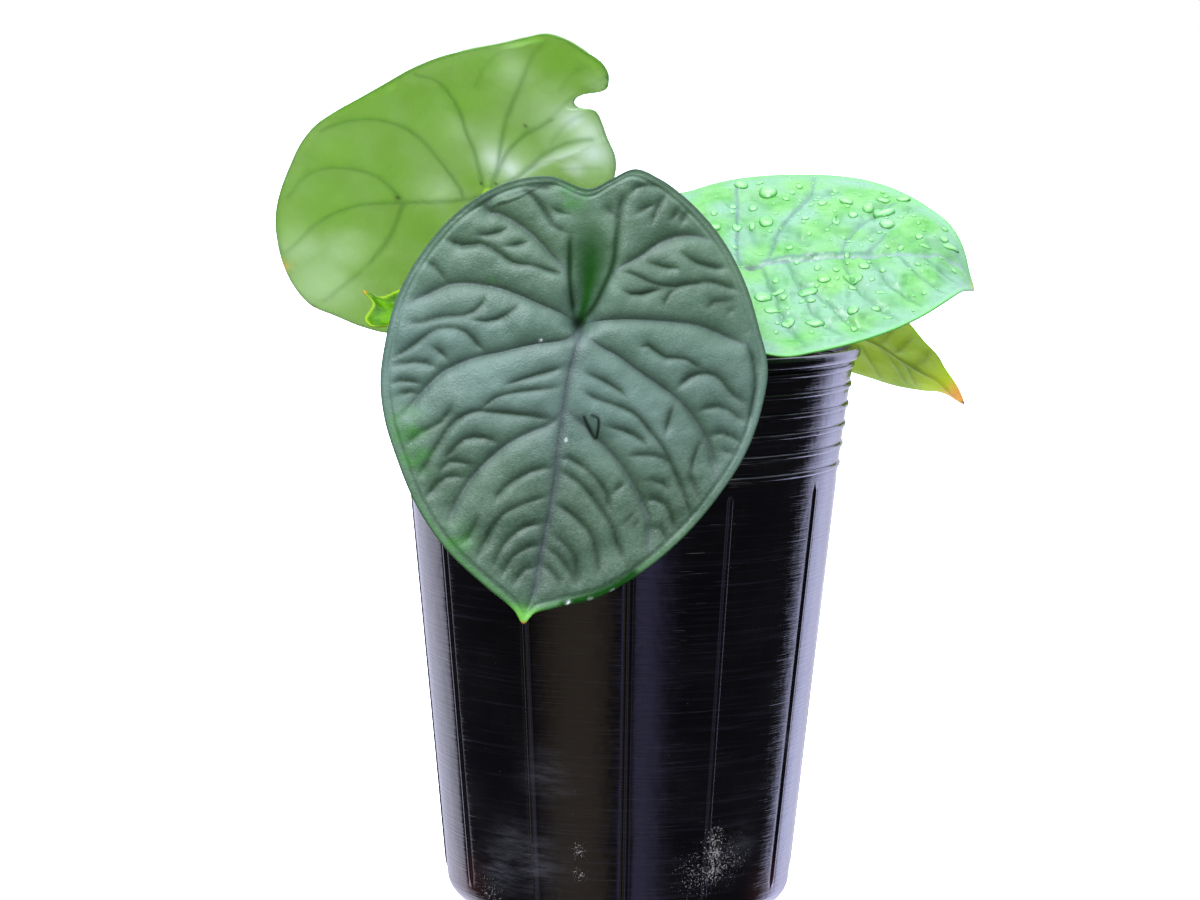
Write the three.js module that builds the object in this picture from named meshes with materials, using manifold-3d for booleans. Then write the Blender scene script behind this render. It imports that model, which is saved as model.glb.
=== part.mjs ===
// A potted Alocasia chaii: a young plant with five peltate leaves in a tall thin-walled nursery pot.
// Millimetres, +Z up, +Y away from the viewer. The origin is the middle of the pot's base.

import * as THREE from "three";
import { LoftGeometry } from "three/addons/geometries/LoftGeometry.js";
import { mergeVertices } from "three/addons/utils/BufferGeometryUtils.js";
import Module from "manifold-3d";

const wasm = await Module();
wasm.setup();

// Pot sizes
const POT_HEIGHT = 179;
const POT_SEGMENTS = 48;
const WALL = 1.2;
const BASE_RADIUS = 47;
const BASE_CORNER = 8;
const BAND_FOOT_Z = 139.5;
const BAND_FOOT_RADIUS = 68.3;
const BAND_HEAD_Z = 174.6;
const BAND_HEAD_RADIUS = 72.8;
const LIP_RADIUS = 75.1;
const LIP_DROP = 4.2;
const LIP_INNER_RADIUS = 72.0;
const LIP_FOOT_STEP = 0.6;
const LIP_FOOT_RISE = 0.4;
const LIP_TURN = 1.4;
const LIP_SHOULDER = 0.8;
const LIP_SHOULDER_DROP = 0.2;
const LIP_HEAD_DROP = 1.2;
const BEAD_COUNT = 6;
const BEAD_PITCH = 6.3;
const BEAD_FIRST_Z = 140.7;
const BEAD_HEIGHT = 1.8;
const BEAD_PROUD = 0.6;
const RIDGE_COUNT = 12;
const RIDGE_TURN = 2;
const RIDGE_WIDTH = 1.6;
const RIDGE_PROUD = 0.45;
const RIDGE_FOOT_Z = 9;
const RIDGE_HEAD_Z = 137;
const RIDGE_END_TAPER = 1;
const DRAIN_COUNT = 8;
const DRAIN_RADIUS = 4.5;
const DRAIN_CIRCLE = 30;

// Potting mix and corm sizes
const GAP = 0.3;
const MIX_EDGE_Z = 160;
const MIX_CROWN_Z = 163;
const MIX_EDGE_WIDTH = 12;
const MIX_EDGE_RISE = 0.8;
const MIX_CROWN_WIDTH = 14;
const MIX_CROWN_DROP = 0.6;
const CORM_RADIUS = 15;
const CORM_SHOULDER_Z = 150;
const CORM_DEPTH = 18;
const CORM_TOP_Z = 164;
const CORM_BEVEL = 1.2;

// Leaf and stalk sizes
const BLADE_THICKNESS = 1.2;
const BLADE_RINGS = 4;
const STALK_RADIUS = 2.1;
const STALK_FOOT_FLARE = 1.9;
const STALK_FLARE_LENGTH = 9;
const STALK_CIRCLE = 9;
const STALK_FOOT_Z = CORM_TOP_Z + 0.4;
const STALK_SIDES = 10;
const STALK_STEPS = 18;
const STALK_END_GAP = 0.35;

// Sheath scale sizes
const SCALE_RADIUS = 13.4;
const SCALE_THICKNESS = 0.8;
const SCALE_HEIGHT = 22;
const SCALE_LEAN = 0.12;

const degrees = THREE.MathUtils.degToRad;

// A leaf: where the stalk meets the blade, the midrib's direction, the way the upper side faces, and
// lift, how far the blade stands out of its plane at a place [across, along] counted from the stalk.
// The outline runs from the notch down one side to the tip and back up the other side.
const LEAVES = [
  {
    name: "front",
    heart: [-14.3, -84, 191.2],
    midrib: [-0.169, -0.242, -0.955],
    facing: [0.042, -0.97, 0.238],
    lift: (across, along) => -0.002 * across ** 2 - 0.0005 * along ** 2,
    outline: [
      [-3, -41], [8.5, -49], [26.5, -42.5], [47.5, -21.5], [58.5, 1.5], [59, 14], [51, 42.5], [32, 70],
      [8.5, 85], [1, 91], [-11.5, 82.5], [-36, 63], [-51, 38], [-55, 15], [-49, -13.5], [-29, -37.5],
      [-16.5, -42],
    ],
    samples: 3,
    footAngle: 265,
    route: [[-3, -17, 175], [-7, -32, 183], [-11, -50, 186.5], [-13.5, -66, 187.6]],
    colour: 0x4e6257,
    roughness: 0.5,
  },
  {
    name: "back_left",
    heart: [-43.3, 0, 226.4],
    midrib: [-0.852, 0.423, -0.31],
    facing: [0.182, 0.793, 0.581],
    lift: (across, along) => -0.0008 * (across ** 2 + along ** 2),
    outline: [
      [17.6, -46.5], [20.3, -53], [23.5, -58.5], [30, -61.5], [38.5, -58.5], [48.5, -50.5], [51, -23],
      [49.5, 5], [43.5, 40], [30, 57.5], [17.5, 70], [1, 78], [-16.5, 78.5], [-36, 60.5], [-36, 35],
      [-31, 2], [-26, -15], [-9.5, -41], [5, -47], [14.5, -49],
    ],
    samples: 3,
    footAngle: 125,
    route: [[-11, 3, 180], [-20, -4, 194], [-32, -9, 209], [-40, -9.5, 217.5]],
    colour: 0x8cc152,
    roughness: 0.45,
  },
  {
    name: "right",
    heart: [38.5, -31, 204.6],
    midrib: [1, 0, -0.02],
    facing: [0.017, -0.545, 0.838],
    lift: (across, along) => archedLift(across, along) - 0.001 * across ** 2,
    outline: [
      [3, -33], [10, -40], [20, -44], [32, -40], [42.5, -21.5], [52.5, 3], [53, 13.5], [50, 34],
      [35.5, 54], [15, 67], [-1, 69], [-10.5, 64.5], [-31.5, 44.5], [-42.5, 18.5], [-42.5, 6],
      [-39, -6], [-34, -23], [-27, -35], [-16, -41], [-5, -38],
    ],
    samples: 3,
    footAngle: 340,
    route: [[14, -6, 176], [24, -13, 188], [33, -21, 194.5]],
    colour: 0x6fd36c,
    roughness: 0.3,
  },
  {
    name: "low_right",
    heart: [44.5, 57, 199.5],
    midrib: [0.852, 0.063, -0.52],
    facing: [0.402, 0.558, 0.726],
    lift: (across) => -0.001 * across ** 2,
    outline: [
      [0, -16], [10, -22], [22, -18], [30, -6], [33, 12], [30, 30], [22, 53.5], [12.5, 70], [6.5, 83],
      [-1, 78], [-10.5, 64.5], [-18, 50], [-28, 22], [-29, 6], [-25, -10], [-13, -21],
    ],
    samples: 2,
    footAngle: 45,
    route: [[11, 12, 176], [21, 25, 186], [33, 40, 189.5]],
    colour: 0x8fa33a,
    roughness: 0.5,
  },
  {
    name: "young",
    heart: [-47.6, -45, 190.9],
    midrib: [-0.995, 0, 0.103],
    facing: [0.082, -0.607, 0.791],
    lift: () => 0,
    outline: [
      [0, -11], [6, -9], [12, 0], [13, 12], [11, 24], [8, 30.5], [1, 30.5], [-4, 33.5], [-5, 27],
      [-7, 20], [-10, 11], [-11, 0], [-6, -9],
    ],
    samples: 2,
    footAngle: 195,
    route: [[-14, -6, 174], [-24, -16, 180], [-36, -29, 182.5], [-44.5, -37, 184.2]],
    colour: 0x3f7d2a,
    roughness: 0.35,
  },
];

// The middle of each sheath scale seen from above, and half its width there, in degrees.
const SCALES = [
  { name: "cataphyll_a", angle: 299, halfWidth: 15 },
  { name: "cataphyll_b", angle: 85, halfWidth: 18 },
];

// The right leaf rises in an arch along its midrib and drops to its tip.
function archedLift(across, along) {
  const archEnd = 42;
  const archHeight = 6.2;
  const tipLength = 27;
  const tipDrop = 11.4;
  const spread = Math.exp(-((across / 40) ** 2));
  if (along < 0) return 0.0885 * along * spread;
  const inArch = Math.min(along, archEnd);
  const rise = archHeight * (1 - (inArch / archEnd - 1) ** 2) * spread;
  const past = Math.max(along - archEnd, 0) / tipLength;
  return rise - tipDrop * past ** 3 * Math.exp(-((across / 18) ** 2));
}

// Joining and cutting
function solidOf(geometry) {
  const bare = geometry.clone();
  bare.deleteAttribute("normal");
  bare.deleteAttribute("uv");
  const merged = mergeVertices(bare, 1e-3);
  return new wasm.Manifold(
    new wasm.Mesh({
      numProp: 3,
      vertProperties: merged.getAttribute("position").array,
      triVerts: new Uint32Array(merged.index.array),
    }),
  );
}

function geometryOf(solid) {
  const mesh = solid.getMesh();
  const geometry = new THREE.BufferGeometry();
  geometry.setAttribute("position", new THREE.BufferAttribute(mesh.vertProperties, 3));
  geometry.setIndex(new THREE.BufferAttribute(mesh.triVerts, 1));
  geometry.computeVertexNormals();
  return geometry;
}

// A turned body about the upright axis, from its profile of [radius, height].
function turned(profile) {
  const points = profile.map(([radius, height]) => new THREE.Vector2(radius, height));
  return new THREE.LatheGeometry(points, POT_SEGMENTS).rotateX(Math.PI / 2);
}

// Points of a quarter circle or ellipse from its lowest point out to its widest.
function quarterArc(centreRadius, centreZ, reach, depth, steps) {
  return Array.from({ length: steps + 1 }, (_, step) => {
    const angle = (step / steps) * (Math.PI / 2);
    return [centreRadius + reach * Math.sin(angle), centreZ - depth * Math.cos(angle)];
  });
}

// Pot: a straight taper up to the beaded band, which opens more steeply up to the rolled lip.
function wallRadius(z) {
  if (z < BAND_FOOT_Z) {
    const foot = BASE_RADIUS + BASE_CORNER;
    return THREE.MathUtils.mapLinear(z, BASE_CORNER, BAND_FOOT_Z, foot, BAND_FOOT_RADIUS);
  }
  return THREE.MathUtils.mapLinear(z, BAND_FOOT_Z, BAND_HEAD_Z, BAND_FOOT_RADIUS, BAND_HEAD_RADIUS);
}

function beadProfile() {
  const points = [];
  for (let bead = 0; bead < BEAD_COUNT; bead++) {
    const middle = BEAD_FIRST_Z + BEAD_PITCH * bead;
    const foot = middle - BEAD_HEIGHT / 2;
    const head = middle + BEAD_HEIGHT / 2;
    points.push([wallRadius(foot), foot]);
    points.push([wallRadius(middle) + BEAD_PROUD, middle]);
    points.push([wallRadius(head), head]);
  }
  return points;
}

function potProfile() {
  const lipFoot = POT_HEIGHT - LIP_DROP;
  const innerCorner = BASE_CORNER - WALL;
  const outside = [
    [0, 0],
    ...quarterArc(BASE_RADIUS, BASE_CORNER, BASE_CORNER, BASE_CORNER, 4),
    ...beadProfile(),
    [wallRadius(lipFoot), lipFoot],
  ];
  const lip = [
    [LIP_RADIUS - LIP_FOOT_STEP, lipFoot + LIP_FOOT_RISE],
    [LIP_RADIUS, lipFoot + LIP_TURN],
    [LIP_RADIUS, POT_HEIGHT - LIP_HEAD_DROP],
    [LIP_RADIUS - LIP_SHOULDER, POT_HEIGHT - LIP_SHOULDER_DROP],
    [LIP_RADIUS - LIP_TURN, POT_HEIGHT],
    [LIP_INNER_RADIUS, POT_HEIGHT],
  ];
  const inside = [
    [wallRadius(BAND_HEAD_Z) - WALL, BAND_HEAD_Z],
    [wallRadius(BAND_FOOT_Z) - WALL, BAND_FOOT_Z],
    ...quarterArc(BASE_RADIUS, BASE_CORNER, innerCorner, innerCorner, 4).reverse(),
    [0, WALL],
  ];
  return [...outside, ...lip, ...inside];
}

// One upright ridge: a thin tapered strip, set a little into the wall, at a turn from the front.
function ridgeGeometry(turn) {
  const inset = WALL / 2;
  const footRadius = wallRadius(RIDGE_FOOT_Z);
  const headRadius = wallRadius(RIDGE_HEAD_Z);
  const side = new THREE.Shape([
    new THREE.Vector2(footRadius - inset, RIDGE_FOOT_Z),
    new THREE.Vector2(footRadius + RIDGE_PROUD, RIDGE_FOOT_Z + RIDGE_END_TAPER),
    new THREE.Vector2(headRadius + RIDGE_PROUD, RIDGE_HEAD_Z - RIDGE_END_TAPER),
    new THREE.Vector2(headRadius - inset, RIDGE_HEAD_Z),
  ]);
  const strip = new THREE.ExtrudeGeometry(side, { depth: RIDGE_WIDTH, bevelEnabled: false });
  strip.translate(0, 0, -RIDGE_WIDTH / 2);
  return strip.rotateX(Math.PI / 2).rotateZ(degrees(turn - 90));
}

function drainGeometry(turn) {
  const hole = new THREE.CylinderGeometry(DRAIN_RADIUS, DRAIN_RADIUS, 4 * WALL, 16);
  return hole.rotateX(Math.PI / 2).translate(DRAIN_CIRCLE, 0, 0).rotateZ(degrees(turn));
}

function potGeometry() {
  let pot = solidOf(turned(potProfile()));
  for (let ridge = 0; ridge < RIDGE_COUNT; ridge++) {
    const turn = RIDGE_TURN + (ridge * 360) / RIDGE_COUNT;
    pot = pot.add(solidOf(ridgeGeometry(turn)));
  }
  for (let drain = 0; drain < DRAIN_COUNT; drain++) {
    const turn = ((drain + 0.5) * 360) / DRAIN_COUNT;
    pot = pot.subtract(solidOf(drainGeometry(turn)));
  }
  return geometryOf(pot);
}

// Corm: half an egg below, straight above, with a flat crown. The mix has a hollow of that shape.
function cormProfile(grow, topZ) {
  const radius = CORM_RADIUS + grow;
  return [
    ...quarterArc(0, CORM_SHOULDER_Z, radius, CORM_DEPTH + grow, 5),
    [radius, topZ],
  ];
}

function cormGeometry() {
  const profile = cormProfile(0, CORM_TOP_Z - CORM_BEVEL);
  return turned([...profile, [CORM_RADIUS - CORM_BEVEL / 2, CORM_TOP_Z], [0, CORM_TOP_Z]]);
}

function mixGeometry() {
  const inset = WALL + GAP;
  const corner = BASE_CORNER - inset;
  const outside = [
    [0, inset],
    ...quarterArc(BASE_RADIUS, BASE_CORNER, corner, corner, 4),
    [wallRadius(BAND_FOOT_Z) - inset, BAND_FOOT_Z],
    [wallRadius(MIX_EDGE_Z) - inset, MIX_EDGE_Z],
  ];
  const top = [
    [wallRadius(MIX_EDGE_Z) - MIX_EDGE_WIDTH, MIX_EDGE_Z + MIX_EDGE_RISE],
    [CORM_RADIUS + MIX_CROWN_WIDTH, MIX_CROWN_Z - MIX_CROWN_DROP],
  ];
  const hollow = cormProfile(GAP, MIX_CROWN_Z).reverse();
  return turned([...outside, ...top, ...hollow]);
}

// Blades: rings of the outline shrunk towards the stalk, over the upper side and back under it.
function leafAxes(leaf) {
  const along = new THREE.Vector3(...leaf.midrib).normalize();
  const facing = new THREE.Vector3(...leaf.facing);
  facing.addScaledVector(along, -facing.dot(along)).normalize();
  return { along, facing, across: facing.clone().cross(along) };
}

function leafPoint(leaf, across, along, depth) {
  const axes = leafAxes(leaf);
  return new THREE.Vector3(...leaf.heart)
    .addScaledVector(axes.across, across)
    .addScaledVector(axes.along, along)
    .addScaledVector(axes.facing, leaf.lift(across, along) - depth);
}

function bladeGeometry(leaf) {
  const corners = leaf.outline.map(([across, along]) => new THREE.Vector3(across, along, 0));
  const margin = new THREE.CatmullRomCurve3(corners, true, "centripetal");
  const count = leaf.outline.length * leaf.samples;
  const edge = margin.getPoints(count).slice(0, count);
  const ring = (share, depth) => edge.map((p) => leafPoint(leaf, p.x * share, p.y * share, depth));
  const sections = [];
  for (let step = 0; step <= BLADE_RINGS; step++) sections.push(ring(step / BLADE_RINGS, 0));
  for (let step = BLADE_RINGS; step >= 0; step--) sections.push(ring(step / BLADE_RINGS, BLADE_THICKNESS));
  return new LoftGeometry(sections);
}

// Stalks: round sections along a curve, wide at the sheathing foot, ending just under the blade.
function stalkGeometry(leaf) {
  const turn = degrees(leaf.footAngle);
  const footX = STALK_CIRCLE * Math.cos(turn);
  const footY = STALK_CIRCLE * Math.sin(turn);
  const curve = new THREE.CatmullRomCurve3([
    new THREE.Vector3(footX, footY, STALK_FOOT_Z),
    new THREE.Vector3(footX, footY, STALK_FOOT_Z + 4),
    ...leaf.route.map((point) => new THREE.Vector3(...point)),
    leafPoint(leaf, 0, 0, 5),
    leafPoint(leaf, 0, 0, BLADE_THICKNESS + STALK_END_GAP),
  ], false, "centripetal");
  const length = curve.getLength();
  const frames = curve.computeFrenetFrames(STALK_STEPS, false);
  const sections = frames.tangents.map((_, step) => {
    const share = step / STALK_STEPS;
    const centre = curve.getPointAt(share);
    const flare = STALK_FOOT_FLARE * Math.exp((-share * length) / STALK_FLARE_LENGTH);
    return stalkRing(centre, frames.normals[step], frames.binormals[step], STALK_RADIUS + flare);
  });
  return new LoftGeometry(sections, { capStart: true, capEnd: true });
}

function stalkRing(centre, normal, binormal, radius) {
  return Array.from({ length: STALK_SIDES }, (_, side) => {
    const angle = (side / STALK_SIDES) * 2 * Math.PI;
    return centre
      .clone()
      .addScaledVector(normal, radius * Math.cos(angle))
      .addScaledVector(binormal, radius * Math.sin(angle));
  });
}

// Sheath scales: thin curved blades that stand around the stalks and narrow to a blunt tip.
function scaleGeometry({ angle, halfWidth }) {
  const levels = 6;
  const arcSteps = 5;
  const sections = [];
  for (let level = 0; level <= levels; level++) {
    const share = level / levels;
    const reach = halfWidth * Math.sqrt(1 - 0.98 * share ** 2);
    const inner = SCALE_RADIUS + SCALE_LEAN * SCALE_HEIGHT * share;
    const height = STALK_FOOT_Z + SCALE_HEIGHT * share;
    const arc = (radius, from, to) =>
      Array.from({ length: arcSteps + 1 }, (_, step) => {
        const turn = degrees(angle + THREE.MathUtils.lerp(from, to, step / arcSteps));
        return new THREE.Vector3(radius * Math.cos(turn), radius * Math.sin(turn), height);
      });
    sections.push([...arc(inner + SCALE_THICKNESS, -reach, reach), ...arc(inner, reach, -reach)]);
  }
  return new LoftGeometry(sections, { capStart: true, capEnd: true });
}

// Finishes
function finish(color, roughness) {
  return new THREE.MeshStandardMaterial({ color, roughness, metalness: 0 });
}

function piece(name, geometry, material) {
  const mesh = new THREE.Mesh(geometry, material);
  mesh.name = name;
  return mesh;
}

// The pot with what fills it
const planter = new THREE.Group();
planter.add(piece("pot", potGeometry(), finish(0x15131a, 0.22)));
planter.add(piece("potting_mix", mixGeometry(), finish(0x3a2a1e, 0.95)));

// The plant
const plant = new THREE.Group();
plant.add(piece("corm", cormGeometry(), finish(0x6b5138, 0.85)));
for (const leaf of LEAVES) {
  const whole = new THREE.Group();
  whole.add(piece(`petiole_${leaf.name}`, stalkGeometry(leaf), finish(0x8fb14a, 0.5)));
  whole.add(piece(`blade_${leaf.name}`, bladeGeometry(leaf), finish(leaf.colour, leaf.roughness)));
  plant.add(whole);
}
for (const scale of SCALES) {
  plant.add(piece(scale.name, scaleGeometry(scale), finish(0xa08a5a, 0.8)));
}

const part = new THREE.Group();
part.add(planter, plant);

export default part;
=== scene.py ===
"""A potted Alocasia chaii: five peltate leaves on short stalks in a tall glossy black nursery pot.

Lengths in the lists and constants are millimetres in the part's frame: origin in the middle of the pot's
base, +X right, +Y away from the viewer, +Z up. Meshes are made in metres. Pixels are photograph pixels in
its 1200 by 900 frame. They are traced along folds and veins, and laid on a leaf through the camera.
"""

import math

import bpy
import numpy as np
from mathutils import Matrix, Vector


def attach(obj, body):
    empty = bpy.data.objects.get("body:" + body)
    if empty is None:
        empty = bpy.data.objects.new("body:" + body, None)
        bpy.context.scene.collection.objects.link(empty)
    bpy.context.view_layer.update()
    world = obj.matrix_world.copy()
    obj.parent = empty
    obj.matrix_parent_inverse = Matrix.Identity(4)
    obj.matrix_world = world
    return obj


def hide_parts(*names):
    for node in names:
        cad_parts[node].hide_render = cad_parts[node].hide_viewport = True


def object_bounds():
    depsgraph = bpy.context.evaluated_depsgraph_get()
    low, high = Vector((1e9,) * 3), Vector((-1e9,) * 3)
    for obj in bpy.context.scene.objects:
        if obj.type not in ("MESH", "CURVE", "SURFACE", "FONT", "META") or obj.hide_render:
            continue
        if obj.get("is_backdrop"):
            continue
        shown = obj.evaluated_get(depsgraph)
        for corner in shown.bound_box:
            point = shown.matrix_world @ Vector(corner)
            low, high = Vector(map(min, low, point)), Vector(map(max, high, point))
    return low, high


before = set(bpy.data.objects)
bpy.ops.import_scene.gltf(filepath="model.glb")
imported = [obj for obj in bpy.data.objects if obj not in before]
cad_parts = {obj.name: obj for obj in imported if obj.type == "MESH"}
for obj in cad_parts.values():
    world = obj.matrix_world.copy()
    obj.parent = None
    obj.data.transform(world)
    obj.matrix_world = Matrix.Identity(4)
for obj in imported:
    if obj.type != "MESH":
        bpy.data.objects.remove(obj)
CAD_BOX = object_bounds()

MM = 0.001
UP = np.array([0.0, 0.0, 1.0])

# Camera
PHOTO_SIZE = (1200, 900)
FOCAL_PIXELS = 4000
SENSOR_WIDTH = 36.0
CAMERA_PLACE = (0.0, -1269.8, 281.9)
CAMERA_TURN = 0.336
CAMERA_TIP = 6.193
CAMERA_ROLL = 0.694


def unit(vector):
    """The vector at length 1."""
    vector = np.asarray(vector, float)
    return vector / np.linalg.norm(vector)


def camera_axes():
    """Right, up and forward of the camera: turned left, tipped down, then rolled about its line of sight."""
    turn, tip, roll = np.radians([CAMERA_TURN, CAMERA_TIP, CAMERA_ROLL])
    level = np.array([-math.sin(turn), math.cos(turn), 0.0])
    right = np.array([math.cos(turn), math.sin(turn), 0.0])
    forward = math.cos(tip) * level - math.sin(tip) * UP
    up = math.sin(tip) * level + math.cos(tip) * UP
    rolled_right = math.cos(roll) * right + math.sin(roll) * up
    rolled_up = math.cos(roll) * up - math.sin(roll) * right
    return rolled_right, rolled_up, forward


def pixel_rays(pixels):
    """The directions in which photograph pixels lie from the camera."""
    right, up, forward = camera_axes()
    offset = (np.asarray(pixels, float) - np.array(PHOTO_SIZE) / 2) / FOCAL_PIXELS
    return forward + offset[:, :1] * right - offset[:, 1:] * up


def added(name, data):
    """A new object of the scene that holds the data."""
    made = bpy.data.objects.new(name, data)
    bpy.context.collection.objects.link(made)
    return made


def posed(right, up, back, place):
    """The matrix of an object whose own axes point right, up and back, at a place in metres."""
    matrix = np.eye(4)
    matrix[:3] = np.stack([right, up, back, place], 1)
    return Matrix(matrix.tolist())


def add_camera():
    """A long lens at the photograph's place."""
    data = bpy.data.cameras.new("camera")
    data.sensor_width = SENSOR_WIDTH
    data.lens = SENSOR_WIDTH * FOCAL_PIXELS / PHOTO_SIZE[0]
    data.clip_start = 0.05
    data.clip_end = 100.0
    camera = added("camera", data)
    right, up, forward = camera_axes()
    camera.matrix_world = posed(right, up, -forward, np.array(CAMERA_PLACE) * MM)
    bpy.context.scene.camera = camera


# Shapes
def noise(places, size, seed, waves=14):
    """Smooth noise of about -1 to 1: a sum of sine waves of about that wavelength, in seeded directions."""
    places = np.asarray(places, float)
    random = np.random.default_rng(seed)
    heading = random.normal(size=(waves, places.shape[-1]))
    heading /= np.linalg.norm(heading, axis=1, keepdims=True)
    pitch = size * random.uniform(0.7, 1.5, waves)
    start = random.uniform(0, 2 * math.pi, waves)
    angles = places @ (heading * (2 * math.pi / pitch)[:, None]).T + start
    return np.sin(angles).sum(-1) / math.sqrt(waves)


def fade(value, low, high):
    """0 at low, 1 at high and smooth between them: 3 t squared - 2 t cubed."""
    t = np.clip((np.asarray(value, float) - low) / (high - low), 0.0, 1.0)
    return t * t * (3 - 2 * t)


def smooth_path(points, count, closed=False):
    """Evenly spaced places on a curve through the points.

    Between two points it is the cubic whose slope at a point is that of the chords on its two sides,
    each weighted by the other's length.
    """
    points = np.asarray(points, float)
    if closed:
        points = np.vstack([points[-1:], points, points[:2]])
    else:
        points = np.vstack([2 * points[:1] - points[1:2], points, 2 * points[-1:] - points[-2:-1]])
    lengths = np.linalg.norm(np.diff(points, axis=0), axis=1)
    slopes = np.diff(points, axis=0) / lengths[:, None]
    before, after = lengths[:-1, None], lengths[1:, None]
    tangents = (slopes[:-1] * after + slopes[1:] * before) / (before + after)
    knots, spans = points[1:-1], lengths[1:-1]
    starts = np.concatenate([[0.0], np.cumsum(spans)])
    wanted = np.linspace(0, starts[-1], count, endpoint=not closed)
    index = np.clip(np.searchsorted(starts, wanted, side="right") - 1, 0, len(spans) - 1)
    span = spans[index][:, None]
    t = (wanted - starts[index])[:, None] / span
    here, there = knots[index], knots[index + 1]
    leave, arrive = tangents[index] * span, tangents[index + 1] * span
    bend = t * t * (3 - 2 * t)
    return here + (there - here) * bend + leave * t * (1 - t) ** 2 - arrive * t * t * (1 - t)


def outward_mesh(name, points, faces):
    """A mesh in metres from places in mm and faces, turned to face outwards."""
    if signed_volume(points, faces) < 0:
        faces = [array[:, ::-1] for array in faces]
    mesh = bpy.data.meshes.new(name)
    mesh.from_pydata((points * MM).tolist(), [], [face for array in faces for face in array.tolist()])
    return mesh


def make_piece(name, points, faces, finish, slot, node=None, masks=None, smooth=True):
    """A piece of the body from places in mm and faces, with its masks as point attributes."""
    mesh = outward_mesh(name, points, faces)
    mesh.polygons.foreach_set("use_smooth", np.full(len(mesh.polygons), smooth))
    for mask, values in (masks or {}).items():
        layer = mesh.attributes.new(mask, "FLOAT", "POINT")
        layer.data.foreach_set("value", np.asarray(values, np.float32))
    mesh.materials.append(finish)
    mesh.update()
    piece = added(name, mesh)
    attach(piece, "root")
    if node:
        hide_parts(node)
    return piece


def signed_volume(points, faces):
    """Sum over the fan triangles of each face of a . (b x c) / 6: positive if the faces point outwards."""
    total = 0.0
    for array in faces:
        first = points[array[:, 0]]
        for side in range(1, array.shape[1] - 1):
            cross = np.cross(points[array[:, side]], points[array[:, side + 1]])
            total += np.einsum("ij,ij->", first, cross) / 6
    return total


def grid_faces(rows, columns, first=0):
    """Four-sided faces of a grid of rows, each a closed ring of columns, numbered from first."""
    row, column = np.meshgrid(np.arange(rows - 1), np.arange(columns), indexing="ij")
    after = (column + 1) % columns
    here, ahead = row * columns, (row + 1) * columns
    corners = [here + column, here + after, ahead + after, ahead + column]
    return np.stack([corner.ravel() for corner in corners], 1) + first


def capped_rings(rings):
    """Points and faces of rings (row, column, 3) joined in order, with a point in the middle of each end."""
    rows, columns = rings.shape[:2]
    points = np.vstack([rings.reshape(-1, 3), rings[0].mean(0), rings[-1].mean(0)])
    column = np.arange(columns)
    after = (column + 1) % columns
    low = np.full(columns, rows * columns)
    start = np.stack([low, after, column], 1)
    last = (rows - 1) * columns
    end = np.stack([low + 1, last + column, last + after], 1)
    return points, [grid_faces(rows, columns), start, end]


def joined(shells):
    """Points and faces of several shells of rings as one mesh, each shell closed as in capped_rings."""
    points, faces, first = [], [], 0
    for shell in shells:
        shell_points, shell_faces = capped_rings(shell)
        points.append(shell_points)
        faces += [array + first for array in shell_faces]
        first += len(shell_points)
    return np.vstack(points), faces


def full_turn(columns):
    """The angles of columns evenly round a circle."""
    return np.arange(columns) / columns * 2 * math.pi


def round_axis(radius, turn, height):
    """Places at a radius and a turn about the upright axis, and at a height."""
    return np.stack(np.broadcast_arrays(radius * np.cos(turn), radius * np.sin(turn), height), -1)


def turned_rings(profile, columns):
    """Rings of a turned body from its profile of (radius, height), as (row, column, 3)."""
    return round_axis(profile[:, :1], full_turn(columns), profile[:, 1:])


def quarter(centre_radius, centre_height, reach, depth, steps):
    """Profile of a quarter ellipse from its lowest place out to its widest."""
    angle = np.linspace(0, math.pi / 2, steps)
    return np.stack([centre_radius + reach * np.sin(angle), centre_height - depth * np.cos(angle)], 1)


# Shader formulas
class Value:
    """A shader socket that takes part in sums, so that a mask reads as a formula."""

    def __init__(self, finish, socket):
        self.finish = finish
        self.socket = socket

    def combine(self, operation, first, second):
        """The result of a math node on two values or numbers."""
        return self.finish.node("ShaderNodeMath", {"operation": operation}, {0: first, 1: second})

    def __add__(self, other):
        return self.combine("ADD", self, other)

    def __radd__(self, other):
        return self.combine("ADD", other, self)

    def __sub__(self, other):
        return self.combine("SUBTRACT", self, other)

    def __rsub__(self, other):
        return self.combine("SUBTRACT", other, self)

    def __mul__(self, other):
        return self.combine("MULTIPLY", self, other)

    def __rmul__(self, other):
        return self.combine("MULTIPLY", other, self)

    def fade(self, low, high):
        """0 at low, 1 at high, smooth between them."""
        settings = {"interpolation_type": "SMOOTHSTEP"}
        return self.finish.node("ShaderNodeMapRange", settings, {0: self, 1: low, 2: high})


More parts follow.
